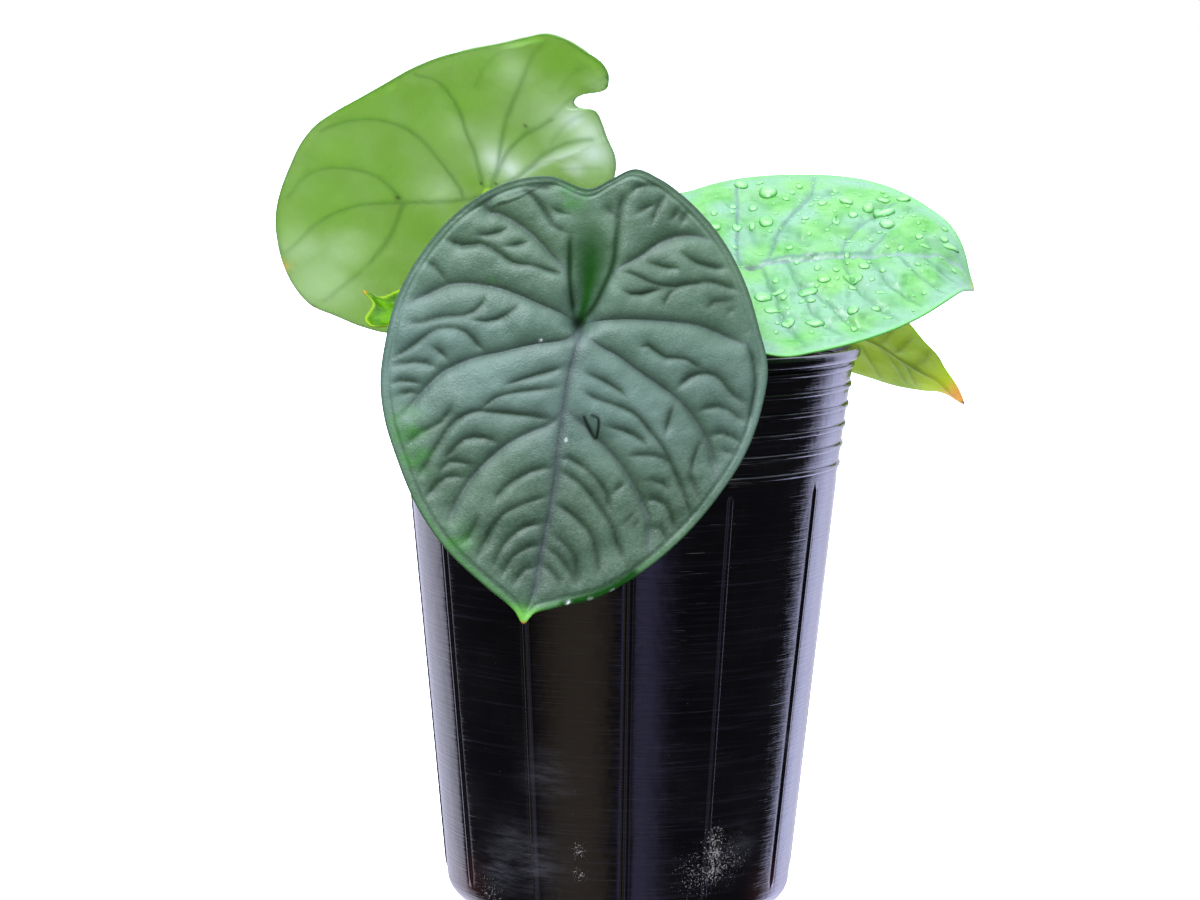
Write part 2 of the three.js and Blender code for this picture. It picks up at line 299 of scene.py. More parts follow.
class Finish:
    """A material made of nodes."""

    def __init__(self, name):
        self.material = bpy.data.materials.new(name)
        self.material.use_nodes = True
        self.tree = self.material.node_tree
        self.tree.nodes.clear()

    def node(self, kind, settings=None, inputs=None, output=0):
        """Adds a node, sets it, then sets or links its inputs, and gives one of its outputs."""
        made = self.tree.nodes.new(kind)
        for name, value in (settings or {}).items():
            setattr(made, name, value)
        for name, value in (inputs or {}).items():
            if isinstance(value, Value):
                self.tree.links.new(value.socket, made.inputs[name])
            else:
                made.inputs[name].default_value = value
        return Value(self, made.outputs[output]) if len(made.outputs) else None

    def mask(self, name):
        """A point attribute of the piece."""
        return self.node("ShaderNodeAttribute", {"attribute_name": name}, output="Fac")

    def place(self, scale=(1, 1, 1)):
        """Object coordinates, in metres times the scale."""
        coordinates = self.node("ShaderNodeTexCoord", output="Object")
        return self.node("ShaderNodeMapping", {}, {"Vector": coordinates, "Scale": scale})

    def noise(self, size, detail=3.0, rough=0.55, stretch=(1, 1, 1)):
        """Noise from 0 to 1 whose features are about size mm across."""
        where = self.place(tuple(s / (size * MM) for s in stretch))
        inputs = {"Vector": where, "Scale": 1.0, "Detail": detail, "Roughness": rough}
        return self.node("ShaderNodeTexNoise", {}, inputs)

    def cells(self, size):
        """0 in the middle of cells about size mm across, rising to their edges."""
        inputs = {"Vector": self.place((1 / (size * MM),) * 3), "Scale": 1.0}
        return self.node("ShaderNodeTexVoronoi", {}, inputs)

    def mix(self, share, first, second):
        """The colour first where share is 0, and second where it is 1."""
        return self.node("ShaderNodeMix", {"data_type": "RGBA"}, {0: share, 6: first, 7: second}, output=2)

    def painted(self, tone, *layers):
        """The tone with colours laid over it in turn, each given as (mask, strength, colour in 0 to 255)."""
        for mask, strength, over in layers:
            tone = self.mix(self.mask(mask) * strength, tone, colour(*over))
        return tone

    def bump(self, height, distance, strength):
        """A normal bumped by a height of the distance in mm."""
        inputs = {"Height": height, "Distance": distance * MM, "Strength": strength}
        return self.node("ShaderNodeBump", {}, inputs)

    def principled(self, inputs):
        """The general surface shader with its inputs."""
        return self.node("ShaderNodeBsdfPrincipled", {}, inputs)

    def done(self, shader):
        """The material, with the shader as its surface."""
        self.node("ShaderNodeOutputMaterial", {}, {"Surface": shader})
        return self.material


def colour(red, green, blue):
    """A colour given in 0 to 255, as the shaders' linear colour."""
    values = np.array([red, green, blue]) / 255
    linear = np.where(values > 0.04045, ((values + 0.055) / 1.055) ** 2.4, values / 12.92)
    return (*linear.tolist(), 1.0)


# Blades
BLADE_THICKNESS = 0.8
BLADE_ROUNDS = 8
WELL_INSIDE = 20.0
HOOK_POWER = 6
MARGIN_POWER = 30
MARGIN_THINNED = 0.5
HEART = (0.0, 0.0)


class Blade:
    """A leaf blade over a flat plan in mm: across the midrib, and along it from the stalk to the tip.

    A place on it is heart + across * side + along * midrib + height * facing, with facing the way its
    upper side looks, and lift(across, along) its bend out of the flat.
    """

    def __init__(self, heart, midrib, facing, outline, lift):
        self.heart = np.array(heart, float)
        self.midrib = unit(midrib)
        facing = np.array(facing, float)
        self.facing = unit(facing - facing.dot(self.midrib) * self.midrib)
        self.side = np.cross(self.facing, self.midrib)
        self.outline = np.array(outline, float)
        self.lift = lift

    def place(self, plan, height):
        """Places in the part's frame of plan places at a height above the flat."""
        flat = self.heart + plan[:, :1] * self.side + plan[:, 1:] * self.midrib
        return flat + np.asarray(height)[:, None] * self.facing

    def seen_at(self, pixels):
        """Plan places that photograph pixels show: each ray is met with the bent blade in a few rounds."""
        rays = pixel_rays(pixels)
        eye = np.array(CAMERA_PLACE) - self.heart
        height = np.zeros(len(rays))
        for _ in range(BLADE_ROUNDS):
            reach = (height - eye @ self.facing) / (rays @ self.facing)
            hit = eye + reach[:, None] * rays
            plan = np.stack([hit @ self.side, hit @ self.midrib], 1)
            height = self.lift(*plan.T)
        return plan

    def paths(self, lines, spacing=2.5):
        """Plan paths of lines traced in the photograph, each written as 'x,y x,y', as smooth curves."""
        found = []
        for line in lines:
            pixels = [[float(number) for number in pair.split(",")] for pair in line.split()]
            corners = self.seen_at(pixels)
            length = np.linalg.norm(np.diff(corners, axis=0), axis=1).sum()
            found.append(smooth_path(corners, max(4, int(length / spacing))))
        return found


def path_distance(places, path):
    """Distance of each place from a broken line, and the length of line on each side of its nearest point."""
    start, step = path[:-1], np.diff(path, axis=0)
    lengths = np.linalg.norm(step, axis=1)
    offset = places[:, None, :] - start
    share = np.clip((offset * step).sum(2) / lengths**2, 0, 1)
    gap = np.linalg.norm(offset - share[..., None] * step, axis=2)
    nearest = gap.argmin(1)
    row = np.arange(len(places))
    before = (np.cumsum(lengths) - lengths)[nearest] + share[row, nearest] * lengths[nearest]
    return gap[row, nearest], before, lengths.sum() - before


def near_paths(places, paths, reach):
    """For each path, the numbers of the places within reach of its box, and their path_distance to it."""
    for path in paths:
        low, high = path.min(0) - reach, path.max(0) + reach
        near = np.flatnonzero(((places > low) & (places < high)).all(1))
        if len(near):
            yield near, *path_distance(places[near], path)


def fold_depth(places, paths, width, ends):
    """How deep places lie in folds: 1 - product(1 - exp(-distance / width)), faded over the paths' ends."""
    left = np.ones(len(places))
    for near, gap, before, after in near_paths(places, paths, 5 * width):
        weight = fade(before, -ends / 3, ends) * fade(after, -ends / 3, ends)
        left[near] *= 1 - weight * np.exp(-gap / width)
    return 1 - left


def line_mask(places, paths, width):
    """1 on the lines, falling off as exp(-(distance / width) squared)."""
    best = np.zeros(len(places))
    for near, gap, _, _ in near_paths(places, paths, 3 * width):
        best[near] = np.maximum(best[near], np.exp(-((gap / width) ** 2)))
    return best


def blade_piece(name, blade, relief, finish, slot, columns, rings, middle):
    """A closed thin blade: its plan is middle + share * outline for shares 0 to 1, above and then below.

    The outline's turn about the middle is kept steady, and what is left over grows as the sixth power of
    the share, so that only the margin hooks round a slit. relief(plan, inset) gives the height of the upper
    side and the masks, inset being the distance to the margin. rings are the counts above and below.
    """
    edge = smooth_path(blade.outline, columns, closed=True) - middle
    radius = np.linalg.norm(edge, axis=1)
    turn = np.maximum.accumulate(np.unwrap(np.arctan2(edge[:, 1], edge[:, 0])))
    core = radius[:, None] * np.stack([np.cos(turn), np.sin(turn)], 1)
    sides = []
    for count in rings:
        share = np.linspace(0, 1, count + 1)[1:, None, None]
        plan = core * share + (edge - core) * share**HOOK_POWER
        share = np.repeat(share.ravel(), columns)
        plan = np.vstack([[middle], plan.reshape(-1, 2) + middle])
        share = np.concatenate([[0.0], share])
        inset = (1 - share) * np.concatenate([[radius.mean()], np.tile(radius, count)])
        height, masks = relief(plan, inset)
        sides.append((plan, share, height + blade.lift(*plan.T), masks))
    (top_plan, _, top_height, top_masks), (low_plan, low_share, low_height, low_masks) = sides
    low_height = low_height - BLADE_THICKNESS * (1 - MARGIN_THINNED * low_share**MARGIN_POWER)
    points = np.vstack([blade.place(top_plan, top_height), blade.place(low_plan, low_height)])
    offset = len(top_plan)
    top_fan = fan(columns, 0)[:, ::-1]
    low_fan = fan(columns, offset)
    top_grid = grid_faces(rings[0], columns, 1)
    low_grid = grid_faces(rings[1], columns, offset + 1)[:, ::-1]
    column = np.arange(columns)
    after = (column + 1) % columns
    top_edge, low_edge = offset - columns, len(points) - columns
    strip = np.stack([top_edge + column, top_edge + after, low_edge + after, low_edge + column], 1)
    masks = {key: np.concatenate([top_masks[key], low_masks[key]]) for key in top_masks}
    masks["under"] = np.repeat([0.0, 1.0], [offset, len(low_plan)])
    faces = [top_fan, low_fan, top_grid, low_grid, strip]
    make_piece(name, points, faces, finish, slot, name, masks)


def fan(columns, centre):
    """Triangles from a centre point to the ring that follows it."""
    column = np.arange(columns)
    return np.stack([np.full(columns, centre), centre + 1 + column, centre + 1 + (column + 1) % columns], 1)


# Front leaf: it hangs over the rim and faces the viewer
FRONT_OUTLINE = [
    (-3, -41), (2.5, -45), (8.5, -49), (16.5, -47.5), (26.5, -42.5), (38, -33.5), (47.5, -21.5), (54, -9),
    (58.5, 1.5), (59, 14), (56.5, 29), (51, 42.5), (42, 58), (32, 70), (21.5, 79), (8.5, 85), (3.5, 87.5),
    (1, 91), (-2, 88), (-11.5, 82.5), (-25.5, 73.5), (-36, 63), (-45, 49.5), (-51, 38), (-54, 28.5),
    (-55, 15), (-54, 1.5), (-49, -13.5), (-40, -28), (-29, -37.5), (-16.5, -42),
]
FRONT_MIDRIB = ["581,319 577,345 570,370 563,414 558,450 554,490 546,530 540,560 535,588 524,618"]
FRONT_MAINS = [
    "581,319 572,337 560,341 540,343 520,347 500,352 480,356 470,359 455,365 445,370 432,381 "
        "420,394 410,408 400,418",
    "560,415 553,422 535,430 515,439 495,453 478,470 463,490 453,510 447,528",
    "614,271 622,266 642,255 657,244 673,237 693,236 712,241",
    "581,322 600,320 625,319 650,320 675,322 700,326 718,333 735,341 747,346",
    "585,334 600,346 617,355 633,367 650,379 670,393 685,407 698,425 708,443 713,462 716,480",
    "567,412 583,424 597,439 617,460 636,490 647,515 649,530 648,553",
    "575,320 560,312 540,304 520,295 500,288 485,285 465,283 450,284 430,293 408,304",
    "567,272 553,257 538,240 520,225 500,214 485,210 488,202 497,194",
]
FRONT_FUNNEL = ["581,318 588,290 591,265 592,240 593,215 592,190"]
FRONT_FUNNEL_SIDES = [
    "575,315 571,290 570,260 570,235",
    "583,318 592,308 598,298 605,283 612,268 616,240 620,208 625,192",
    "605,203 610,212 616,217",
]
FRONT_FOLDS = [
    "570,235 560,230 550,223 545,212 538,203 528,193 520,189", "570,215 560,213 550,206",
    "558,181 553,187 540,187 523,189",
    "566,276 550,271 530,265 513,263 503,256 492,249 480,244 465,246 444,239",
    "509,228 500,232 488,235 475,235", "530,242 518,245 503,247", "447,283 442,275 435,267 424,262",
    "486,297 482,304 475,311 465,315 450,316 440,317 430,320 420,323 403,321",
    "522,303 510,312 500,318 490,321 478,321 468,320",
    "485,352 477,344 470,335 462,330 452,328 440,328 425,336 415,344 405,351 391,359",
    "448,362 441,352 430,346", "437,369 430,364 420,362 400,364 390,367",
    "424,384 415,382 405,380 395,382 388,386", "419,393 410,392 400,394 393,398",
    "563,368 540,374 520,380 503,386", "563,386 545,389 525,391 507,394 495,398 487,404 480,411",
    "552,420 540,417 525,415 505,413 490,412 478,411 465,415 455,421 447,430 440,441 433,452 "
        "425,466 417,480",
    "453,403 449,412 442,421 432,427 422,432 412,440 406,447",
    "502,445 490,439 477,437 467,438 458,444 450,453 442,460", "480,464 465,463 450,461 441,470 439,478",
    "466,478 458,476 450,476 442,479 436,485 430,493 425,500",
    "551,468 535,470 522,476 512,482 503,489 497,497 494,505",
    "549,496 540,498 530,501 520,505 510,510 502,515 497,521 491,530 486,540 481,550 474,564",
    "479,515 475,525 472,533 465,541 460,546",
    "545,523 535,524 525,527 515,533 508,540 502,547 498,555 491,570",
    "541,545 530,546 520,551 512,557 507,564 503,572 500,579", "537,567 527,568 520,573 516,580 513,588",
    "632,217 645,209 658,203", "650,228 655,214 662,200 668,192", "668,225 675,215 682,205",
    "680,228 685,216 690,210", "628,197 633,190 642,186 652,185 662,187 670,193",
    "645,262 660,266 672,269 680,270", "680,253 687,257 693,262 700,264 710,267 720,269 727,268",
    "622,272 635,275 645,280 655,284 665,286 675,287 685,285 695,284 710,282 726,287 742,292",
    "620,290 635,295 650,292 665,288", "664,312 665,302 670,293 680,287",
    "705,312 712,303 720,300 728,302 738,300", "725,318 730,311 738,308",
    "747,346 752,357 755,372 754,395 751,412 748,427",
    "638,348 650,346 657,352 663,357 675,358 685,359 697,366 706,371",
    "676,390 685,381 692,376 705,373 716,376 722,381 727,388 735,397 751,405",
    "697,412 705,409 713,407 722,407 730,411 738,417 747,423",
    "709,436 716,434 724,433 732,436 738,441 745,446", "718,450 727,452 735,455",
    "675,402 670,415 667,428 665,438", "703,440 697,450 693,460 692,475", "690,470 693,485 698,495 703,503",
    "583,373 600,379 612,386 622,393 627,400",
    "583,392 597,399 612,404 625,409 637,416 645,425 652,434 660,443 670,462 676,475 684,495 692,520",
    "603,426 618,429 632,434 642,441 647,449", "625,457 640,455 655,456 665,459 671,467",
    "640,481 650,480 660,482 667,487 670,494", "644,500 653,499 662,501 668,508 672,518 675,530 678,538",
    "650,527 657,527 663,531 667,540 669,547", "625,483 617,490 611,495", "640,510 632,515 625,523 620,527",
    "641,517 635,524 632,532", "560,458 568,458 580,465 592,474 600,483 606,492 609,508 611,515",
    "562,472 575,480 587,491 597,504 605,516 612,527 616,540 620,553 626,565",
    "556,504 570,513 582,524 591,535 596,549 598,565 599,580",
    "551,533 560,540 568,547 573,553 576,560 577,570 578,590",
    "547,548 555,553 562,560 568,570 574,578 577,587", "542,563 550,570 556,577 560,584 560,592",
]
FRONT_TEAR = ["584,417 588,426 596,438 598,430 597,418 592,416"]
FRONT_WET = ["564,605 580,600.5 600,594 618,585.5 633,574"]
FRONT_SPECKS = [
    ((541, 340), 0.35), ((566, 440), 0.4), ((568, 603), 0.5), ((590, 600), 0.4), ((612, 592), 0.4),
]
FRONT_GREEN_PLACES = [
    ((403, 430), 6), ((413, 458), 5), ((457, 543), 4.5), ((524, 614), 4), ((573, 197), 4),
    ((492, 280), 0.8),
]

front_blade = Blade(
    (-14.3, -84, 191.2), (-0.169, -0.242, -0.955), (0.042, -0.970, 0.238), FRONT_OUTLINE,
    lambda across, along: -(0.0020 * across**2 + 0.0005 * along**2),
)


def spots(blade, plan, places):
    """1 at each pixel place, falling off as exp(-(distance / size) squared); the largest of them counts."""
    found = np.zeros(len(plan))
    for pixel, size in places:
        centre = blade.seen_at([pixel])[0]
        gap = np.linalg.norm(plan - centre, axis=1)
        found = np.maximum(found, np.exp(-((gap / size) ** 2)))
    return found


def front_relief():
    """Lamina bulging between sharp folds, with a V-shaped funnel above the stalk."""
    midrib = front_blade.paths(FRONT_MIDRIB)
    mains = front_blade.paths(FRONT_MAINS)
    folds = front_blade.paths(FRONT_FOLDS + FRONT_FUNNEL_SIDES)
    funnel = front_blade.paths(FRONT_FUNNEL)[0]
    tear = front_blade.paths(FRONT_TEAR, 0.6)
    wet = front_blade.paths(FRONT_WET)
    seams = front_blade.paths(FRONT_FUNNEL_SIDES)

    def relief(plan, inset):
        across, along = plan.T
        inner = fade(inset, 0.9, 3.4)
        uneven = 1 + 0.3 * noise(plan, 13.0, 5)
        main = fold_depth(plan, mains, 2.4, 7.0)
        broad = fold_depth(plan, mains + midrib, 8.0, 18.0)
        small = fold_depth(plan, folds, 1.05, 4.0)
        wide = fold_depth(plan, folds, 3.4, 8.0)
        rib = fold_depth(plan, midrib, 2.0, 3.0)
        gap, before, after = path_distance(plan, funnel)
        open_end = fade(after, 0, 30)
        trough = np.exp(-((gap / (5.0 + 2.5 * (1 - open_end))) ** 2)) * (0.35 + 0.65 * open_end)
        vein = np.exp(-(((inset - 2.5) / 0.5) ** 2))
        rim = 1 - fade(inset, 0.2, 1.3)
        wave = noise(plan, 13.0, 3) * 0.16 + noise(plan, 4.5, 4) * 0.04
        height = -1.5 * main - 1.2 * broad - (0.85 * small + 0.5 * wide) * uneven - 0.8 * rib + wave
        height = 1.9 + inner * height - 4.6 * trough - 0.4 * vein + 0.25 * rim - 0.5 * (1 - inner)
        lines = line_mask(plan, mains, 0.9)
        hollow_shade = fold_depth(plan, mains, 5.0, 14.0)
        mouth = 1.4 + 4.8 * fade(before, 0, 24)
        patches = spots(front_blade, plan, FRONT_GREEN_PLACES) * (0.75 + 0.35 * noise(plan, 5.0, 6))
        masks = {
            # Painted shade in the folds and the midrib's groove.
            "fold": np.clip(0.5 * main**1.5 + 0.85 * small**1.2 + 0.2 * wide + 0.3 * rib, 0, 1) * inner,
            # Painted sheen: a bluish cast across the middle of the blade.
            "cool_sheen": fade(along, -25, 15) * (1 - fade(along, 25, 60)),
            "low": fade(along, 15, 60) + 0.5 * fade(across, 20, 45) * fade(along, -10, 15),
            # Painted shade in the hollows beside the main veins.
            "hollow_shade": np.clip(1.3 * hollow_shade, 0, 1) ** 1.5 * inner * fade(along, 60, 10),
            # Painted shade: a near-black dimple at the heart.
            "pit_shade": np.exp(-((np.linalg.norm(plan - (0.3, -0.5), axis=1) / 2.4) ** 2)),
            "speck": spots(front_blade, plan, FRONT_SPECKS),
            # Painted shade along the funnel's sides.
            "seam_shade": line_mask(plan, seams, 0.9) * fade(along, -38, -8),
            "vein": np.clip(0.6 * lines + line_mask(plan, midrib, 1.0), 0, 1),
            "by_vein": np.clip(fold_depth(plan, midrib, 4.5, 10.0), 0, 1),
            # The funnel's vivid green, darkened by painted shade deep in its trough.
            "funnel": np.exp(-((gap / mouth) ** 2)) * (1 - fade(along, -16, -42)),
            "lime": fade(along, 84.5, 88.5),
            "rim": rim,
            "green": np.maximum(patches, fade(along, 40, 85) * (1 - fade(inset, 0.6, 3.0))),
            "wet": line_mask(plan, wet, 1.6) * (1 - fade(inset, 2.5, 4.5)),
            "tear": line_mask(plan, tear, 0.5),
            "tip": fade(along, 90.0, 91.0),
        }
        return height, masks

    return relief


# Right leaf: it lies nearly level, wet, and its upper side is seen
RIGHT_OUTLINE = [
    (3, -33), (10, -40), (20, -43), (31, -38.5), (37.5, -29), (42, -18.5), (47, -10), (50.5, -1), (52, 8),
    (52.5, 18), (52, 27), (50, 35.5), (45.5, 43.5), (38.5, 50.7), (29, 57.3), (19.5, 63.5), (12, 67),
    (5.5, 68.7), (0, 70), (-4, 68.3), (-10, 65.5), (-17, 61.8), (-24, 55.8), (-32, 45), (-38.5, 31.5),
    (-42.5, 18.5), (-44, 10.5), (-42.5, 4), (-39, -6), (-34, -23), (-27, -35), (-16, -41), (-5, -38),
]
RIGHT_MIDRIB = [
    "745,271 756,268 762,264 779,262 802,260 829,257 852,256.5 871,255.5 902,254 925,255.5 942,257 962,270",
]
RIGHT_VEINS = [
    "745,271 741,264 737,250 738,227 737,208 736,191",
    "767,262 773,246 779,231 791,216 802,204 812,191 814,181",
    "841,255 848,237 860,225 873,217 885,208 896,206", "867,254 877,244 886,235", "898,254 900,245",
]
RIGHT_ABOVE_MIDRIB = ["762,261 779,258.5 802,256.5 829,254 852,253.5 871,252"]
RIGHT_LOWER_VEINS = [
    "762,268 768,281 776,295 780,314 789,328 804,348", "787,263 794,277 802,291 812,309 823,322 842,338",
    "800,284 822,298 836,311 848,321 860,330 870,335", "843,259 848,272 857,286 866,297 884,311 899,323",
    "869,258 879,270 889,283 905,295 921,307", "898,256 910,266 922,278 934,287 947,296",
    "925,257 936,267 948,278 959,287",
]
RIGHT_FOLDS = [
    "858,315 868,322 878,328 887,331", "888,299 898,305 908,310", "905,287 915,293 926,300",
    "936,274 944,281 953,288", "780,225 790,232 800,240 812,250", "745,225 752,235 758,250",
    "812,200 825,197 840,190", "820,235 832,225 845,215", "855,243 868,236 882,228",
    "880,247 892,240 905,235", "905,247 918,240 932,236", "900,215 915,210 925,206",
    "750,195 760,205 772,212",
]
RIGHT_DROPS = (
    "741,188,14,8 768,195,18,10 737,227,10,9 766,223,14,10 715,229,12,10 752,228,6,8 836,222,8,14 "
    "853,216,10,7 868,210,12,8 884,213,22,10 887,226,16,9 883,203,14,5 903,202,14,5 846,204,14,7 "
    "789,250,8,7 822,205,10,4 805,220,8,4 753,210,9,6 733,206,8,6 919,239,8,7 944,242,8,6 925,248,12,3 "
    "950,250,14,6 864,267,12,7 853,278,20,9 824,281,14,7 808,291,20,8 778,292,14,6 763,298,18,10 "
    "853,287,10,6 853,311,12,9 854,329,8,10 876,308,10,7 888,320,10,4 815,323,20,9 788,323,14,10 "
    "772,311,16,6 881,293,12,3 811,300,10,6"
)


def right_lift(across, along):
    """Rises towards +across over the middle, drops off past 42 mm along it, and sags as across squared."""
    held = np.minimum(along, 42)
    rise = 6.2 * (1 - (held / 42 - 1) ** 2) * np.exp(-((across / 40) ** 2))
    drop = 11.4 * (np.maximum(along - 42, 0) / 27) ** 3 * np.exp(-((across / 18) ** 2))
    behind = 0.0885 * along * np.exp(-((across / 40) ** 2))
    return np.where(along >= 0, rise - drop, behind) - 0.0010 * across**2


right_blade = Blade((38.5, -31, 204.6), (1, 0, -0.02), (0.017, -0.545, 0.838), RIGHT_OUTLINE, right_lift)


def right_relief():
    """Lamina swelling gently between sunk veins, finely puckered, with a rolled margin."""
    midrib = right_blade.paths(RIGHT_MIDRIB)
    above = right_blade.paths(RIGHT_ABOVE_MIDRIB)
    veins = right_blade.paths(RIGHT_VEINS)
    lower = right_blade.paths(RIGHT_LOWER_VEINS)
    folds = right_blade.paths(RIGHT_FOLDS)

    def relief(plan, inset):
        inner = fade(inset, 1.0, 5.0)
        main = fold_depth(plan, veins + lower, 5.0, 12.0)
        narrow = fold_depth(plan, veins + lower + midrib, 1.5, 4.0)
        rib = fold_depth(plan, midrib, 3.0, 6.0)
        rim = 1 - fade(inset, 0.4, 1.9)
        small = fold_depth(plan, folds, 1.5, 4.0)
        pucker = noise(plan, 10.0, 11) * 0.3 + noise(plan, 4.0, 12) * 0.18
        height = -1.2 * main - 0.8 * narrow - 0.8 * rib - 0.7 * small + pucker
        height = 1.2 + inner * height + 0.45 * rim - 0.3 * (1 - inner)
        masks = {
            "vein": np.clip(line_mask(plan, veins, 0.55) + line_mask(plan, above, 0.7), 0, 1),
            "midrib": line_mask(plan, midrib, 0.8),
            # Painted sheen: whiter and paler by the veins, by the margin and in patches.
            "shade": np.clip(main + 0.7 * (1 - fade(inset, 2.0, 9.0)) + 0.45 * noise(plan, 16.0, 14), 0, 1),
            # Darker green: painted shade in the folds, and the lower veins' own colour.
            "crease": np.clip(0.7 * small + 0.9 * line_mask(plan, lower, 0.7), 0, 1) * inner,
            "edge": 1 - fade(inset, 0.25, 0.8),
            "rim": rim,
            "heart": np.exp(-((np.linalg.norm(plan, axis=1) / 2.2) ** 2)),
            "tip": fade(plan[:, 1], 68.6, 69.6),
        }
        return height, masks

    return relief


# Back left leaf: it stands behind, and its underside is seen against the light
BACK_LEFT_OUTLINE = [
    (20.8, -43.9), (22.4, -45.2), (23.2, -48.5), (22.8, -52), (22.4, -55), (23, -57.3), (25, -59),
    (28, -60.6), (32, -60.9), (38, -58.3), (44, -55), (48, -50.8), (49.3, -43), (50, -34.5), (51.5, -23.5),
    (52.3, -13), (51.7, -2), (49.8, 9), (48, 20), (46.5, 30), (44.5, 38.5), (40.5, 46.5), (34, 55),
    (27, 63), (19, 70), (10, 75), (1, 78.3), (-8, 79.7), (-17, 78.5), (-23.5, 73.7), (-32, 66.8),
    (-37, 60.5), (-36.5, 48), (-36, 34), (-34, 18), (-31, 2), (-26, -15), (-17, -30), (-9.5, -41),
    (-2.5, -45.5), (5.3, -47), (11.6, -48.5), (14.3, -49), (16.3, -48.7), (17.4, -47.4), (18.3, -45.5),
    (19.4, -44.2),
]
BACK_LEFT_MAINS = [
    "490,191 464,199 435,199 405,199 357,204 323,216 301,236 285,252", "405,199 388,238 357,272 323,301",
    "401,196 379,175 357,167 330,164 306,175 287,197",
    "461,187 439,156 415,131 398,122 376,117 350,119 321,131", "485,185 471,141 454,95 439,81 415,74",
    "499,163 505,124 524,76 541,43 547,40", "493,180 512,144 551,117",
    "497,187 530,163 553,145 570,139 592,138", "490,191 499,163", "464,199 461,187",
]
BACK_LEFT_FINE = [
    "552,141 565,124 575,117 585,114", "560,168 580,166 600,168", "575,100 590,90 603,84",
    "500,52 488,62 476,84", "584,66 572,74 560,90", "551,117 567,101 587,87 603,78",
]
# Places of painted sheen on the underside.
BACK_LEFT_SHEEN_SPOTS = [
    ((588, 150), 16), ((565, 118), 12), ((520, 165), 13), ((497, 150), 9), ((515, 65), 7), ((325, 285), 14),
    ((300, 245), 9), ((440, 192), 8), ((345, 250), 9), ((600, 85), 5), ((460, 130), 7),
]
# Places of painted glare on the underside.
BACK_LEFT_GLARE = [
    ((588, 130), 5.5), ((575, 120), 5), ((592, 152), 6), ((498, 158), 5), ((512, 165), 4), ((575, 165), 4),
]
BACK_LEFT_SHEEN = ["508,184 535,164 560,152 585,145 603,139"]
BACK_LEFT_DEEP = [
    ((430, 212), 7), ((455, 207), 5), ((415, 225), 8), ((345, 150), 8), ((375, 100), 8), ((340, 212), 7),
    ((492, 62), 4), ((560, 60), 7), ((470, 180), 4), ((385, 170), 9), ((440, 130), 9), ((330, 190), 6),
    ((600, 62), 5), ((465, 100), 8),
]
BACK_LEFT_DOTS = [
    ((399, 195), 0.8), ((482, 181), 0.6), ((497, 181), 0.6), ((526, 125), 0.7), ((606.5, 77), 0.5),
    ((606.5, 86), 0.45), ((313, 306), 0.5),
]
BACK_LEFT_RING_CENTRE = (32.7, -8.0)

back_left_blade = Blade(
    (-43.3, 0, 226.4), (-0.852, 0.423, -0.310), (0.182, 0.793, 0.581), BACK_LEFT_OUTLINE,
    lambda across, along: -0.0008 * (across**2 + along**2),
)


def back_left_relief():
    """A thin lamina with raised ribs below, slack between them, and a fold along the upper right."""
    mains = back_left_blade.paths(BACK_LEFT_MAINS)
    fine = back_left_blade.paths(BACK_LEFT_FINE)
    fold = back_left_blade.paths(["505,185 540,160 575,150 600,141 607,139"])
    sheen = back_left_blade.paths(BACK_LEFT_SHEEN)

    def relief(plan, inset):
        inner = fade(inset, 0.8, 4.0)
        broad = fold_depth(plan, mains, 8.0, 18.0)
        ribs = line_mask(plan, mains, 0.78) * (1 - 0.45 * fade(np.linalg.norm(plan, axis=1), 30, 75))
        crease = fold_depth(plan, fold, 3.0, 8.0)
        slack = noise(plan, 24.0, 21) * 0.6 + noise(plan, 9.0, 22) * 0.12
        height = 0.6 + inner * (-0.9 * broad - 0.3 * ribs - 1.6 * crease + slack)
        masks = {
            "vein": np.clip(ribs + 0.45 * line_mask(plan, fine, 0.8), 0, 1),
            # Painted sheen in pale patches, and painted glare.
            "pale": spots(back_left_blade, plan, BACK_LEFT_SHEEN_SPOTS),
            "glare": np.maximum(
                spots(back_left_blade, plan, BACK_LEFT_GLARE), 0.8 * line_mask(plan, sheen, 1.7)),
            "deep": spots(back_left_blade, plan, BACK_LEFT_DEEP),
            "rim": 1 - fade(inset, 0.3, 1.4),
            "margin_vein": np.exp(-(((inset - 1.9) / 0.35) ** 2)),
            "dots": spots(back_left_blade, plan, BACK_LEFT_DOTS),
            "heart": np.exp(-((np.linalg.norm(plan, axis=1) / 3.5) ** 2)),
            "tip": spots(back_left_blade, plan, [((284, 266), 2.2)]),
        }
        return height, masks

    return relief


# Low right leaf: its underside shows below the right leaf
LOW_RIGHT_OUTLINE = [
    (0, -16), (10, -22), (22, -18), (30, -6), (33, 12), (30, 30), (24.5, 48.5), (22, 53.5), (17.8, 62),
    (10.6, 70.8), (6.4, 74.8), (5.4, 77.6), (5.1, 80.0), (5.0, 81.8), (5.0, 83.8), (4.1, 83.1), (2.9, 82.2),
    (1.2, 80.7), (-1.2, 78.4), (-4.2, 74.6), (-7.5, 70), (-12.3, 64.5), (-15.8, 57), (-20, 50), (-24.5, 38),
    (-28.5, 22), (-29, 6), (-25, -10), (-15, -20),
]
LOW_RIGHT_RING_CENTRE = (-5.0, 16.0)
LOW_RIGHT_MIDRIB = ["868,337 885,346 900,355 925,370 945,383 957,395"]
LOW_RIGHT_VEINS = [
    "862,345 875,362 883,377", "884,346 898,364 908,384", "907,362 915,375 918,385", "868,337 860,330",
    "895,350 905,343 912,336", "915,364 925,358 930,350", "880,343 888,335 893,328",
]

low_right_blade = Blade(
    (44.5, 57, 199.5), (0.852, 0.063, -0.52), (0.402, 0.558, 0.726), LOW_RIGHT_OUTLINE,
    lambda across, along: -0.0010 * across**2,
)


